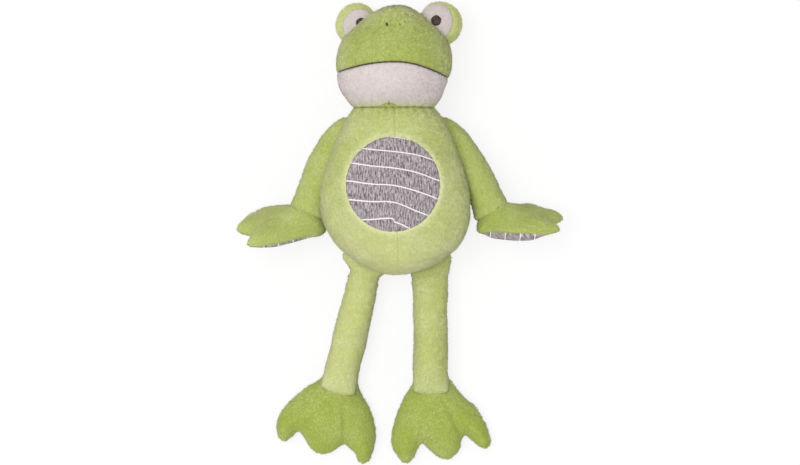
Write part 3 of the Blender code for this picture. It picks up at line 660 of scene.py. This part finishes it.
# each plush's third colour is painted sheen where its pile turns sideways
LIME = plush("lime_plush", DEEP_TONE, SOFT_TONE, RIM_SHEEN_COLOUR, 0.3, halo=paint(230, 230, 190))
WHITE = plush("white_plush", JAW_TONE, JAW_TONE, paint(206, 194, 192), 0.2, fringe=paint(208, 208, 160))
EYE_WHITE = plush("eye_white_plush", EYE_TONE, EYE_TONE, paint(196, 186, 182), 0.2)
GREY = jersey()
BROWN = yarn("brown_yarn", paint(34, 22, 20), paint(84, 62, 56), (900, 300, 900))
THREAD = yarn("green_thread", paint(88, 98, 44), paint(140, 150, 84), (1200, 1200, 1200))
FIBRE = yarn("polyester_fibre", paint(214, 214, 210), paint(246, 246, 244), (140, 140, 140))
LONG_PILE = {"spacing": 0.00095, "length": 0.0018, "width": 0.00046, "lean": 56, "stray": 0.3}
SHORT_PILE = {"spacing": 0.001, "length": 0.0011, "width": 0.00042, "lean": 56, "stray": 0.4}


# ---- torso

TORSO = Stuffed(TORSO_ROWS, 85.0, -69.0)
HEAD = Stuffed(HEAD_ROWS, 162.0, 67.0)
# the angles round from the front of the torso's and the head's side seams
SIDE_SEAM, HEAD_SEAM = 97, 108


def from_patch(points):
    return np.hypot(points[..., 0] - PATCH_CENTRE[0] * MM, points[..., 1] - PATCH_CENTRE[1] * MM)


def gathers(points, across, deep, height, fade):
    """Pleats round the neck's axis, at this place across, that fade away above and below a height."""
    angle = np.arctan2(points[..., 0] - across, points[..., 2] - MIDDLE_Z)
    pleats = deep * np.sin(23 * angle + 5 * np.sin(2 * angle))
    return pleats * np.exp(-(((points[..., 1] - height) / fade) ** 2))


def torso_folds(points):
    """Gathers that fan out below the neck, and the dish in the front that the belly patch fills."""
    inside = 1 / (1 + np.exp((from_patch(points) - PATCH_RADIUS * MM) / 0.0006))
    dish = 0.0022 * inside * (points[..., 2] > MIDDLE_Z)
    return gathers(points, 0.0005, 0.0005, 0.076, 0.008) - dish


def beside_patch(points):
    """Whether each point lies outside the patch or behind it."""
    return (from_patch(points) > (PATCH_RADIUS + 0.5) * MM) | (points[..., 2] < MIDDLE_Z)


def torso_painted_light(points):
    """Painted light: the torso's nap is paler towards its lower end and its left side."""
    low, left = rising(points[:, 1], -0.065, -0.005), rising(points[:, 0], 0.015, 0.055)
    return 1.0 - 0.4 * low + 0.14 * left


def core(form, share, down, round_):
    """A form's whole surface, shrunk about its middle."""
    down, across = shares(down, round_)
    return shrunk(form.points(360 * across, down), form.middle, share)


def torso():
    seam = 0.0012, 0.0024
    cloth = {"folds": torso_folds, "pile": LONG_PILE, "painted_light": torso_painted_light}
    down, across = shares(92, 64)
    for side, name in SIDES.items():
        panel = TORSO.points(side * between(0, SIDE_SEAM, across), down)
        sewn(f"torso_front_{name}", panel, TORSO.middle, LIME, "torso", keep=beside_patch,
             pinch={"start": (0.0001, 0.0008), "end": seam}, seed=11 + side, **cloth)
    down, across = shares(92, 88)
    panel = TORSO.points(between(SIDE_SEAM, 360 - SIDE_SEAM, across), down)
    sewn("torso_back", panel, TORSO.middle, LIME, "torso", pinch={"start": seam, "end": seam}, seed=13,
         **cloth)
    stuffing("torso_filling", core(TORSO, 0.91, 40, 49), TORSO.middle, "torso")


def belly_patch():
    """The jersey disc: rings laid on the torso's front, whose weave is each point's place across,
    along and among the white rows."""
    out, round_ = shares(58, 145)
    reach = out * (PATCH_RADIUS - 0.3) * MM
    x = closed(PATCH_CENTRE[0] * MM + reach * np.sin(2 * np.pi * round_))
    y = closed(PATCH_CENTRE[1] * MM + reach * np.cos(2 * np.pi * round_))
    points = TORSO.front(x, y)
    heights = np.moveaxis(along_rows(STRIPES, x / MM), -1, 0)
    # beside the dart the lowest rows jump down a little
    beside = 1 + np.exp(-(x / MM + 1.2) / 0.2)
    level = y / MM + 2.6 / beside * (y / MM < -15 - 0.45 * np.maximum(x / MM + 1, 0))
    row = np.clip((heights[:-1] - level) / (heights[:-1] - heights[1:]), 0, 1).sum(0)

    def dart(points):
        """The short dart below the middle, drawn in along a line."""
        low = 1 / (1 + np.exp((points[..., 1] + 0.0195) / 0.002))
        return -0.0008 * low * np.exp(-(((points[..., 0] + 0.0012) / 0.0009) ** 2))

    sewn("belly_patch", points, TORSO.middle, GREY, "torso", wrap=True, pinch={"bottom": (0.0011, 0.0013)},
         folds=dart, wall=0.0012, weave=np.stack([x, y, row], -1), uneven=0.0003)


# ---- head

def head_folds(points):
    """The gathers over the neck seam."""
    return gathers(points, 0, 0.0004, 0.071, 0.005)


def crown_painted_sheen(points):
    """Painted sheen: the crown's nap is paler towards the top and the sides of the head, where it turns
    away.
    """
    high, side = rising(points[:, 1], 0.135, 0.16), rising(abs(points[:, 0]), 0.03, 0.052)
    return 0.16 + 0.5 * high + 0.35 * side


def mouth_share(angle):
    """The share down the head at which its surface meets the mouth line, at each angle round."""
    share = np.linspace(0.2, 0.9, 400)
    place = HEAD.points(*np.meshgrid(angle, share))
    line = along_rows(np.array(MOUTH_LINE) * MM, place[..., 0])[..., 0]
    return share[np.argmax(place[..., 1] < line, axis=0)]


def head():
    turn = np.linspace(-HEAD_SEAM, HEAD_SEAM, 150)
    mouth = np.convolve(np.pad(mouth_share(turn), 4, mode="edge"), np.ones(9) / 9, "valid")
    seams = {"start": (0.001, 0.0022), "end": (0.001, 0.0022)}
    down = np.linspace(0, 1, 62)[:, None]
    crown = HEAD.points(turn[None] + 0 * down, mouth[None] * down)
    sewn("head_crown", crown, HEAD.middle, LIME, "head", pinch={**seams, "bottom": (0.0011, 0.0016)},
         pile=LONG_PILE, seed=21, uneven=0.0003, painted_light=crown_painted_sheen)
    jaw = HEAD.points(turn[None] + 0 * down, mouth[None] + (1 - mouth[None]) * down)
    sewn("head_jaw", jaw, HEAD.middle, WHITE, "head", pinch={**seams, "top": (0.0009, 0.0016)},
         folds=head_folds, pile=SHORT_PILE, seed=22, uneven=0.0003)
    down, across = shares(80, 84)
    back = HEAD.points(between(HEAD_SEAM, 360 - HEAD_SEAM, across), down)
    # the head's back takes a little painted light on its nap
    sewn("head_back", back, HEAD.middle, LIME, "head", pinch=seams, folds=head_folds, pile=LONG_PILE,
         seed=23, painted_light=0.2)
    stuffing("head_filling", core(HEAD, 0.92, 36, 45), HEAD.middle, "head")
    cord("mouth_cord", HEAD.points(turn, mouth)[22:-20], 0.00056)


def cord(name, line, radius, finish=BROWN, stands=True):
    """A stitched cord on the head along a line: a ring of ten round each point, drawn in a little
    between stitches, with closed ends. It may stand for the node of its name."""
    along = unit(np.gradient(line, axis=0))
    up = line - HEAD.middle
    up = unit(up - along * (up * along).sum(-1, keepdims=True))
    side = np.cross(along, up)
    run = run_along(line)
    edge = np.minimum(run, run[-1] - run) / (radius * 2)
    girth = radius * np.sqrt(np.clip(edge, 0, 1)) * (1 - 0.12 * np.cos(run / STITCH * 2 * np.pi))
    angle = np.linspace(0, 2 * np.pi, 11)[None, :, None]
    ring = side[:, None] * np.cos(angle) + up[:, None] * np.sin(angle)
    points = closed(line[:, None] + girth[:, None, None] * ring)
    faces, maps = closed_faces(*points.shape[:2], True, False, False)
    # the rings turn from side to up, so that the grid's own faces look inwards
    flat, faces, maps, extra = merged(points.reshape(-1, 3), faces[:, ::-1], maps[:, ::-1], {})
    joined(piece(name, flat, faces, maps, finish, extra), "head", name if stands else None)


# each eye's centre, half size, pupil's middle, and its white's reach and lean
EYES = {
    LEFT: ((0.0353, 0.1474, 0.03), 0.0187, (-0.0051, 0.0008), 66, (-34, -2)),
    RIGHT: ((-0.0376, 0.1454, 0.0285), 0.0179, (0.0091, -0.0005), 58, (31, 12)),
}


def eye_pose(side):
    centre = Matrix.Translation(Vector(EYES[side][0]))
    return HEAD_POSE @ centre @ (turned_by(side * 14, "Y") @ turned_by(-6, "X"))


def eye_halves(side):
    return np.array([1, 1, 0.75]) * EYES[side][1]


def eye_points(side, angle, round_, lean):
    """Points of an eye's flattened ball, at an angle from a leaning axis and a share round it."""
    turn = 2 * np.pi * round_
    way = [np.sin(angle) * np.cos(turn), np.sin(angle) * np.sin(turn), np.cos(angle)]
    leaned = np.array(Matrix.Rotation(lean[0], 3, "Y") @ Matrix.Rotation(lean[1], 3, "X"))
    return moved(eye_pose(side), (closed(np.stack(way, -1)) @ leaned.T) * eye_halves(side))


def eyes():
    for side, name in SIDES.items():
        edge, lean = math.radians(EYES[side][3]), np.radians(EYES[side][4])
        middle = np.array(eye_pose(side).translation)
        down, round_ = shares(30, 73)
        knob = {"wrap": True, "floor": False, "wall": EYE_WALL}
        white = eye_points(side, edge * down, round_, lean)
        white[0] = white[0, 0]
        sewn(f"{name}_eye_white", white, middle, EYE_WHITE, "head", pinch={"bottom": (0.0008, 0.0013)},
             pile=SHORT_PILE, uneven=0.0002, seed=31 + side, **knob)
        green = eye_points(side, edge + (math.pi - edge) * down, round_, lean)
        green[-1] = green[-1, 0]
        # the eye's green back takes much painted light on its nap
        sewn(f"{name}_eye_back", green, middle, LIME, "head", pinch={"top": (0.0008, 0.0016)},
             pile=LONG_PILE, uneven=0.0003, seed=34 + side, painted_light=0.6, **knob)
        down, round_ = shares(14, 21)
        inner = eye_points(side, math.pi * down, round_, lean)
        stuffing(f"{name}_eye_filling", shrunk(inner, middle, 0.82), middle, "head")
        pupil(side, name, middle)


def pupil(side, name, middle):
    """A stitched disc on the eye's face, raised in the middle."""
    out, round_ = shares(12, 49)
    wobble = 1 + 0.03 * np.sin(10 * np.pi * round_) + 0.02 * np.sin(26 * np.pi * round_)
    reach = out * 0.0044 * wobble
    across, up = EYES[side][2]
    x = closed(across + reach * np.cos(2 * np.pi * round_))
    y = closed(up + reach * np.sin(2 * np.pi * round_) * 1.06)
    half, _, deep = eye_halves(side)
    rise = deep * np.sqrt(1 - (x**2 + y**2) / half**2)
    points = moved(eye_pose(side), np.stack([x, y, rise + 0.001 * (1 - out**4) + 0.0002], -1))
    sewn(f"{name}_pupil", points, middle, BROWN, "head", wrap=True, wall=0.0012, uneven=0.00008, floor=False)


# each nostril stitch's half length, lift and radius
NOSTRILS = {LEFT: (0.0005, 0.0008, 0.0006), RIGHT: (0.0016, 0.0011, 0.0009)}


def stitch(x, y, lift):
    """A line of nine points on the head's front, lifted off it."""
    return HEAD.front(np.linspace(*x, 9), np.linspace(*y, 9)) + np.array([0, 0, lift])


def stitches():
    """The two nostril stitches, and the gathering stitch at the neck."""
    for side, name in SIDES.items():
        tall, lift, radius = NOSTRILS[side]
        x = -0.0015 + side * 0.0057
        line = stitch((x - 0.0005, x + 0.0005), (0.144 + tall, 0.144 - tall), lift)
        cord(f"{name}_nostril_stitch", line, radius)
    cord("neck_gather_stitch", stitch((GATHER_X, GATHER_X), (0.0784, 0.0752), 0.0004), 0.0006, THREAD, False)


# ---- arms, legs, hands and feet

def tube(path, rows, caps, down, sides=57, span=(0, 1)):
    """A stuffed tube along the smooth line through a path's points. The table gives each ring's half
    width, half depth and lift by its share of the line, and caps give how near the tips they
    shrink as a quarter circle."""
    path = np.array(path, float)
    run = run_along(path)
    line = np.column_stack([run / run[-1], path])
    share, round_ = shares(down, sides)
    place = between(*span, (1 - np.cos(np.pi * share)) / 2)
    along = unit(along_rows(line, place + 0.03) - along_rows(line, place - 0.03))
    across = unit(np.cross(along, (0, 0, 1.0)))
    up = np.cross(across, along)
    half, deep, lift = np.moveaxis(along_rows(rows, place), -1, 0)
    near = np.minimum((place - span[0]) * run[-1] / caps[0], (span[1] - place) * run[-1] / caps[1])
    swell = np.sqrt(1 - (1 - np.clip(near, 0, 1)) ** 2)
    turn = 2 * np.pi * round_
    points = along_rows(line, place) + up * lift[..., None]
    points = points + across * (half * swell * np.sin(turn))[..., None]
    points = closed(points + up * (deep * swell * np.cos(turn))[..., None])
    points[0], points[-1] = points[0, 0], points[-1, 0]
    return points * MM


def limb_folds(place, along, seed):
    """Creases across a tube, which fade away from a point."""
    place, along = np.array(place), unit(np.array(along, float))

    def folds(points):
        gap = (points - place) @ along
        waves = 0.00025 * np.sin(gap / 0.0085 * 2 * np.pi + 2.5 * lumps(points, 0.03, seed))
        return waves * np.exp(-((gap / 0.014) ** 2))

    return folds


WRISTS = {LEFT: (81.5, -15.5, 33.1), RIGHT: (-78.5, -17.2, 33.1)}
HIPS = {LEFT: (30.0, -64.0, 15.0), RIGHT: (-25.0, -64.0, 15.0)}
ANKLES = {LEFT: (30.5, -157.4, 18.0), RIGHT: (-46.9, -156.5, 18.0)}
# the middle line of each arm, from inside the torso to inside the hand
ARM_PATHS = {
    LEFT: (
        (33, 60, 27), (44, 53, 24), (50.5, 46.2, 23.5), (59, 33.5, 24),
        (67.1, 19.6, 26), (73.5, 7, 29), (79.4, -6, 31), (85.0, -20.5, 30),
    ),
    RIGHT: (
        (-32, 58.5, 27), (-43, 54, 24), (-50, 46, 23.5), (-57, 34, 24),
        (-63.4, 20.3, 26), (-68.3, 7.5, 29), (-73.6, -8, 31), (-77, -21, 30),
    ),
}
# share of the way, half width, half depth and lift of an arm and of a leg
ARM_ROWS = (
    (0, 9, 9, 0), (0.2, 12.2, 12, 0), (0.4, 13.8, 13.4, 0), (0.6, 14.2, 13.8, 0), (0.82, 14.2, 13.6, 0),
    (0.93, 14.9, 13.4, 0), (1, 15.8, 12, -1),
)
LEG_TAIL = (
    (0.543, 14.1, 14.4, 0), (0.725, 14.3, 14.8, 0), (0.87, 14.4, 13.2, 0.2), (0.942, 14.8, 8.2, 2.2),
    (1, 15.6, 3.4, 4.0),
)
LEG_ROWS = {
    LEFT: (
        (0, 18.6, 4, 3), (0.067, 18.4, 6.4, 2), (0.145, 16.9, 8.8, 1), (0.22, 15.5, 10.8, 0.4),
        (0.362, 14.4, 12.9, 0), *LEG_TAIL,
    ),
    RIGHT: (
        (0, 22.6, 4, 3), (0.08, 22.4, 6.8, 1.7), (0.12, 20.6, 8, 1.2), (0.146, 16.8, 8.8, 1),
        (0.172, 13.4, 9.6, 0.8), (0.232, 12.9, 11, 0.4), (0.362, 13.6, 12.9, 0), *LEG_TAIL,
    ),
}
# how much thinner the stuffing is than the skin
SKIN_GAP = 3.2


def limb(body, root, path, rows, caps, down, bend, folds, inner_caps, span, seed, painted_light):
    """A limb's skin, baked in place though it is given its root's body, its own and two places, and its
    stuffing.
    """
    skin = tube(path, rows, caps, down)
    blend = (root, body, *(tuple(place * MM) for place in bend))
    sewn(f"{body}_skin", skin, skin.mean((0, 1)), LIME, blend, wrap=True, wall=None, pile=LONG_PILE,
         folds=folds, seed=seed, painted_light=painted_light)
    thinner = np.array(rows, float) - np.array([0, SKIN_GAP, SKIN_GAP, 0])
    inner = tube(path, thinner, inner_caps, 30, 21, span)
    stuffing(f"{body}_filling", inner, inner.mean((0, 1)), body)


def limbs():
    for side, name in SIDES.items():
        path = np.array(ARM_PATHS[side], float)
        folds = limb_folds(path[-3] * MM, path[-1] - path[-3], 3)
        # each limb's last value is painted light on its nap; the right leg, towards the lamp, is paler
        limb(f"{name}_arm", f"{name}_shoulder", path, ARM_ROWS, (8, 6.5), 74, (path[0], path[2]), folds,
             (8, 9), (0.14, 0.94), 41 + side, 0.36)
        hip, way = np.array(HIPS[side]), np.subtract(ANKLES[side], HIPS[side])
        path = (hip - 0.2 * way, hip + 0.5 * way, hip + 1.172 * way)
        bend = hip - way * 0.06, hip + way * 0.2
        limb(f"{name}_leg", "torso", path, LEG_ROWS[side], (11, 4.8), 96, bend,
             limb_folds((hip + way * 0.1) * MM, way, 4), (8, 7), (0.24, 0.95), 44 + side, 0.7 - 0.12 * side)


# the feet's outlines, from the heel round three toes: pairs of ahead of the ankle and to its left
PAW_OUTLINES = {
    LEFT: (
        -14, 0, -10, -10, 3.3, -16, 16, -27.1, 30.1, -36, 43.2, -41.8, 52.2, -43.2, 61.5, -40.7,
        68.2, -36.8, 69.6, -32.6, 66.7, -28, 59.4, -22.6, 55.9, -18, 62.3, -12.4, 69, -6.5, 72.4, 0.4,
        70.4, 7.6, 64.8, 13.5, 58.4, 15.8, 55.4, 19, 60.6, 24.4, 66.7, 29.6, 69.4, 34.8, 66, 39.6,
        56.7, 39.9, 45.3, 37.4, 32.2, 32.4, 25, 26.2, 16.4, 20.8, 4.2, 14.8, -9, 10.5,
    ),
    RIGHT: (
        -14, 0, -9, -10, 5.4, -15.3, 18.4, -27, 28.1, -34.6, 37.1, -40.4, 48.9, -43.6, 58.5, -42.5,
        65.8, -37.6, 66.6, -33.2, 61.8, -29, 55.6, -24, 58.8, -18.3, 63.4, -13.6, 68, -8.4, 69.4, 0.1,
        65.2, 8.2, 59.3, 13.4, 57, 16.4, 59.6, 22.3, 62.6, 27.5, 67.8, 31, 69.3, 35.4, 66.5, 39.6,
        59.3, 41.6, 49.2, 41.6, 40.2, 39.6, 30, 35.4, 20.9, 29, 13.3, 22, 3.6, 15.3, -9, 10.5,
    ),
}
# the hands' outlines: a longer heel, and the right hand's near finger is shorter
HAND_OUTLINES = {
    LEFT: (
        -14, -1, -11, -13, 2, -21, 16, -30, 30.1, -37, 43.2, -41.8, 52.2, -43.2, 60.5, -40.7, 66.2, -36.8,
        67.2, -32.6, 65.2, -28, 61, -23, 59.4, -18.6, 63.6, -12.8, 69.5, -6.5, 73, 0.4, 70.4, 7.6,
        64.8, 13.5, 58.4, 15.8, 55.4, 19, 58.6, 24.4, 62.7, 29.6, 64.4, 34.8, 61, 38.6, 53.7, 38.9,
        43.3, 36.4, 31.2, 31.4, 24, 26.2, 15.4, 20.8, 4.2, 15.8, -9, 11.5,
    ),
    RIGHT: (
        -19, 1, -15, -11, 1, -17, 15, -26.1, 29.1, -34, 42.2, -39.8, 50.2, -41.2, 57.5, -39.7, 62.2, -36.8,
        64.6, -32.6, 63.2, -28, 58, -22.6, 54.9, -18, 61.3, -12.4, 67, -6.5, 70.4, 0.4, 68.4, 7.6,
        63.6, 12.4, 58.6, 15, 56.4, 18.2, 57, 23.4, 58.6, 28.6, 59.6, 33.6, 57, 38.6, 49.7, 40.6,
        40.3, 39.4, 29.2, 36.4, 20, 32.2, 10.4, 27, -1, 21, -14, 14,
    ),
}
PAW_MIDDLE = (3.0, 0.0)
# a paw's seam under the ankle, its top's rise, and the inset at which its pillow is full
SEAM, RISE, PLUMP = -9.0, 13.2, 24
# creases in a paw's back: the notch between two toes, the inner end and the depth; a hand's share
# of the depth, and their half width
PAW_CREASES = (((57.0, 17.5), (27.0, 8.5), 0.17), ((57.5, -21.5), (36.0, -12.5), 0.09))
HAND_CREASE, CREASE_WIDTH = 0.4, 2.6


def closed_line(corners, count):
    """A closed smooth line through corners, as cubic pieces by the distance along them."""
    ring = np.reshape(corners, (-1, 2))
    ring = np.concatenate([ring[-3:], ring, ring[:4]])
    run = run_along(ring)
    place = np.linspace(run[3], run[-4], count)
    line = along_rows(np.column_stack([run, ring]), place)
    line[-1] = line[0]
    return line


def paw(outline, size, upper, hand, sink, swell, wide=181, down=36):
    """Half of a stuffed paw, above or below its seam, in its own frame: ahead, left and up. Each
    point lies a share of the way from the middle to the outline. Its height is a pillow of its
    distance from the outline, the mean of all distances weighted by their inverse fifth power. The
    back swells towards the ankle by this height, length and width. A hand's seam runs lower, and
    its palm is thin at the heel and the fingers."""
    line, dense = closed_line(outline, wide), closed_line(outline, 721)
    out = np.linspace(0, 1, down)[:, None]
    out = 0.55 * np.sin(out * np.pi / 2) + 0.45 * out
    flat = PAW_MIDDLE + (line[None] - PAW_MIDDLE) * out[..., None]
    step = np.linalg.norm(np.diff(dense, axis=0), axis=-1)
    far = np.linalg.norm(flat[:, :, None] - (dense[1:] + dense[:-1]) / 2, axis=-1)
    inset = ((step * np.maximum(far, 0.02) ** -5.0).sum(-1) / (4 / 3)) ** -0.25
    inset[-1] = 0
    inset = np.minimum(inset / PLUMP, 1)
    pillow = (1 - (1 - inset) ** 2.4) ** 0.6
    x, y = flat[..., 0], flat[..., 1]
    heel = fingers = 0
    if hand:
        heel, fingers = 1 / (1 + np.exp((x + 5) / 3)), 1 / (1 + np.exp((48 - x) / 4))
    height = (RISE if upper else sink * (1 - 0.88 * heel - 0.86 * fingers)) * pillow
    if upper:
        for notch, root, deep in PAW_CREASES:
            notch, root = np.array(notch), np.array(root)
            way = unit(notch - root)
            ahead = 1 + np.exp(-((flat - root) @ way) / 3)
            off = (flat - root) @ np.array([-way[1], way[0]])
            deep = deep * (HAND_CREASE if hand else 1)
            height = height * (1 - deep * np.exp(-((off / CREASE_WIDTH) ** 2)) / ahead)
        height = height + swell[0] * pillow * np.exp(-((x / swell[1]) ** 2) - (y / swell[2]) ** 2)
    up = SEAM - 3.0 * heel - 2.5 * fingers + (height if upper else -height)
    points = closed(np.concatenate([flat, up[..., None]], -1) * size * MM)
    points[0] = points[0, 0]
    return points


def cupped(points, side, curve, line=0.012):
    """A hand's points with its far edge curled under: beyond a line they follow a circle of this
    curvature, at their own height over it."""
    past, height = points[..., 1] * side - line, points[..., 2]
    turn = np.maximum(past, 0) * curve
    radius = 1 / curve
    across = np.where(past > 0, np.sin(turn) * (radius + height), past)
    up = np.where(past > 0, np.cos(turn) * (radius + height) - radius, height)
    return np.stack([points[..., 0], (across + line) * side, up], -1)


def paw_frame(origin, heading, tilt):
    """A frame with x ahead, turned from X about Z by the heading, and up, tilted from Z to Y."""
    heading, tilt = math.radians(heading), math.radians(tilt)
    ahead = Vector((math.cos(heading), math.sin(heading), 0)).normalized()
    up = Vector((0, math.sin(tilt), math.cos(tilt))).normalized()
    turn = Matrix((ahead, up.cross(ahead), up)).transposed().to_4x4()
    return Matrix.Translation(origin * MM) @ turn


# each foot's heading; each hand's heading, tilt up on edge, place from the wrist, palm's depth, curl
# and painted light on its nap
FEET = {LEFT: -79.3, RIGHT: -103.5}
HANDS = {
    LEFT: (6.5, 72, (0.6, -4.6, 0), 13.6, 46.0, 0.18),
    RIGHT: (180, 62, (2.6, -4.4, 0), 8.8, 58.0, 0.3),
}
FOOT_SIZE, HAND_SIZE, SOLE_ROW = 1.02, 0.86, 0.0124


def stuffed_paw(name, side, pose, outline, size, sink, swell, curve, painted_light):
    """A paw's top, sole and stuffing, from its frame, outline, size, depth below its seam, swell,
    curl and painted light on its nap. Only hands are curled."""

    def halves(*grid):
        return [paw(outline, size, upper, curve > 0, sink, swell, *grid) for upper in (True, False)]

    def placed(points):
        return moved(pose, cupped(points, side, curve) if curve else points)

    away = moved(pose, np.array([0.025, 0, SEAM * MM]) * size)
    top, sole = halves()
    ahead = np.broadcast_to(np.array(pose.to_3x3() @ Vector((1, 0, 0))), top.shape)
    both = {"wrap": True, "pinch": {"bottom": (0.0004, 0.0014)}, "uneven": 0.0003}
    sewn(f"{name}_top", placed(top), away, LIME, name, pile=LONG_PILE, ways=ahead, seed=51 + side,
         painted_light=painted_light, **both)
    weave = np.stack([sole[..., 1], sole[..., 0], sole[..., 0] / SOLE_ROW + 0.065], -1)
    sewn(f"{name}_sole", placed(sole), away, GREY, name, weave=weave, **both)
    upper, lower = halves(61, 14)
    inner = np.concatenate([upper, lower[-2::-1]])
    root = np.array([*PAW_MIDDLE, SEAM]) * MM * size
    stuffing(f"{name}_filling", placed(root + (inner - root) * (0.84, 0.84, 0.64)), away, name)


def paws():
    for side, name in SIDES.items():
        foot = paw_frame(Vector(ANKLES[side]), FEET[side], 0)
        stuffed_paw(f"{name}_foot", side, foot, PAW_OUTLINES[side], FOOT_SIZE, 8.4, (7.4, 17, 14), 0, 0)
        heading, tilt, off, deep, *rest = HANDS[side]
        hand = paw_frame(Vector(WRISTS[side]) + Vector(off), heading, tilt)
        stuffed_paw(f"{name}_hand", side, hand, HAND_OUTLINES[side], HAND_SIZE, deep, (12, 28, 22), *rest)


torso()
belly_patch()
head()
eyes()
stitches()
limbs()
paws()

# ---- floor, light and camera

# the lens, and the width that the picture shows at the toy's middle height
LENS, SENSOR, SEEN_WIDTH = 200.0, 36.0, 0.688
BRIGHT = 1, 1, 1, 1


def studio():
    """A pale floor, even light with a soft lamp from the upper left, and a long lens straight above."""
    f = Finish("floor")
    rays = [f.add("LightPath", out=f"Is {kind} Ray") for kind in ("Camera", "Glossy", "Transmission")]
    plain = f.add("BsdfDiffuse", {"Color": (0.93, 0.93, 0.93, 1)})
    lit = f.add("Emission", {"Color": BRIGHT})
    seen = (rays[0] + rays[1] + rays[2]).least(1.0) * 0.8
    mesh = bpy.data.meshes.new("floor")
    corners = [(x * 4, y * 4, -0.0002) for x, y in ((-1, -1), (1, -1), (1, 1), (-1, 1))]
    mesh.from_pydata(corners, [], [(0, 1, 2, 3)])
    mesh.materials.append(f.ended(f.add("MixShader", {0: seen, 1: plain, 2: lit})))
    added("floor", mesh)
    sky = Finish("studio", "World")
    level = sky.add("LightPath", out="Is Camera Ray") * 0.34 + 0.66
    bpy.context.scene.world = sky.ended(sky.add("Background", {"Color": BRIGHT, "Strength": level}))
    lamp = bpy.data.lights.new("key", "SUN")
    lamp.energy, lamp.angle = 1.6, math.radians(40)
    key = added("key", lamp)
    key.rotation_euler = Vector((-0.26, 0.03, 1.0)).to_track_quat("Z", "Y").to_euler()
    camera = bpy.data.cameras.new("camera")
    camera.lens, camera.sensor_width, camera.clip_end = LENS, SENSOR, 50.0
    eye = added("camera", camera)
    eye.location = (0.0041, -0.0333, SEEN_WIDTH * LENS / SENSOR + MIDDLE_Z)
    bpy.context.scene.camera = eye
    bpy.context.scene.view_settings.view_transform = "Standard"


studio()
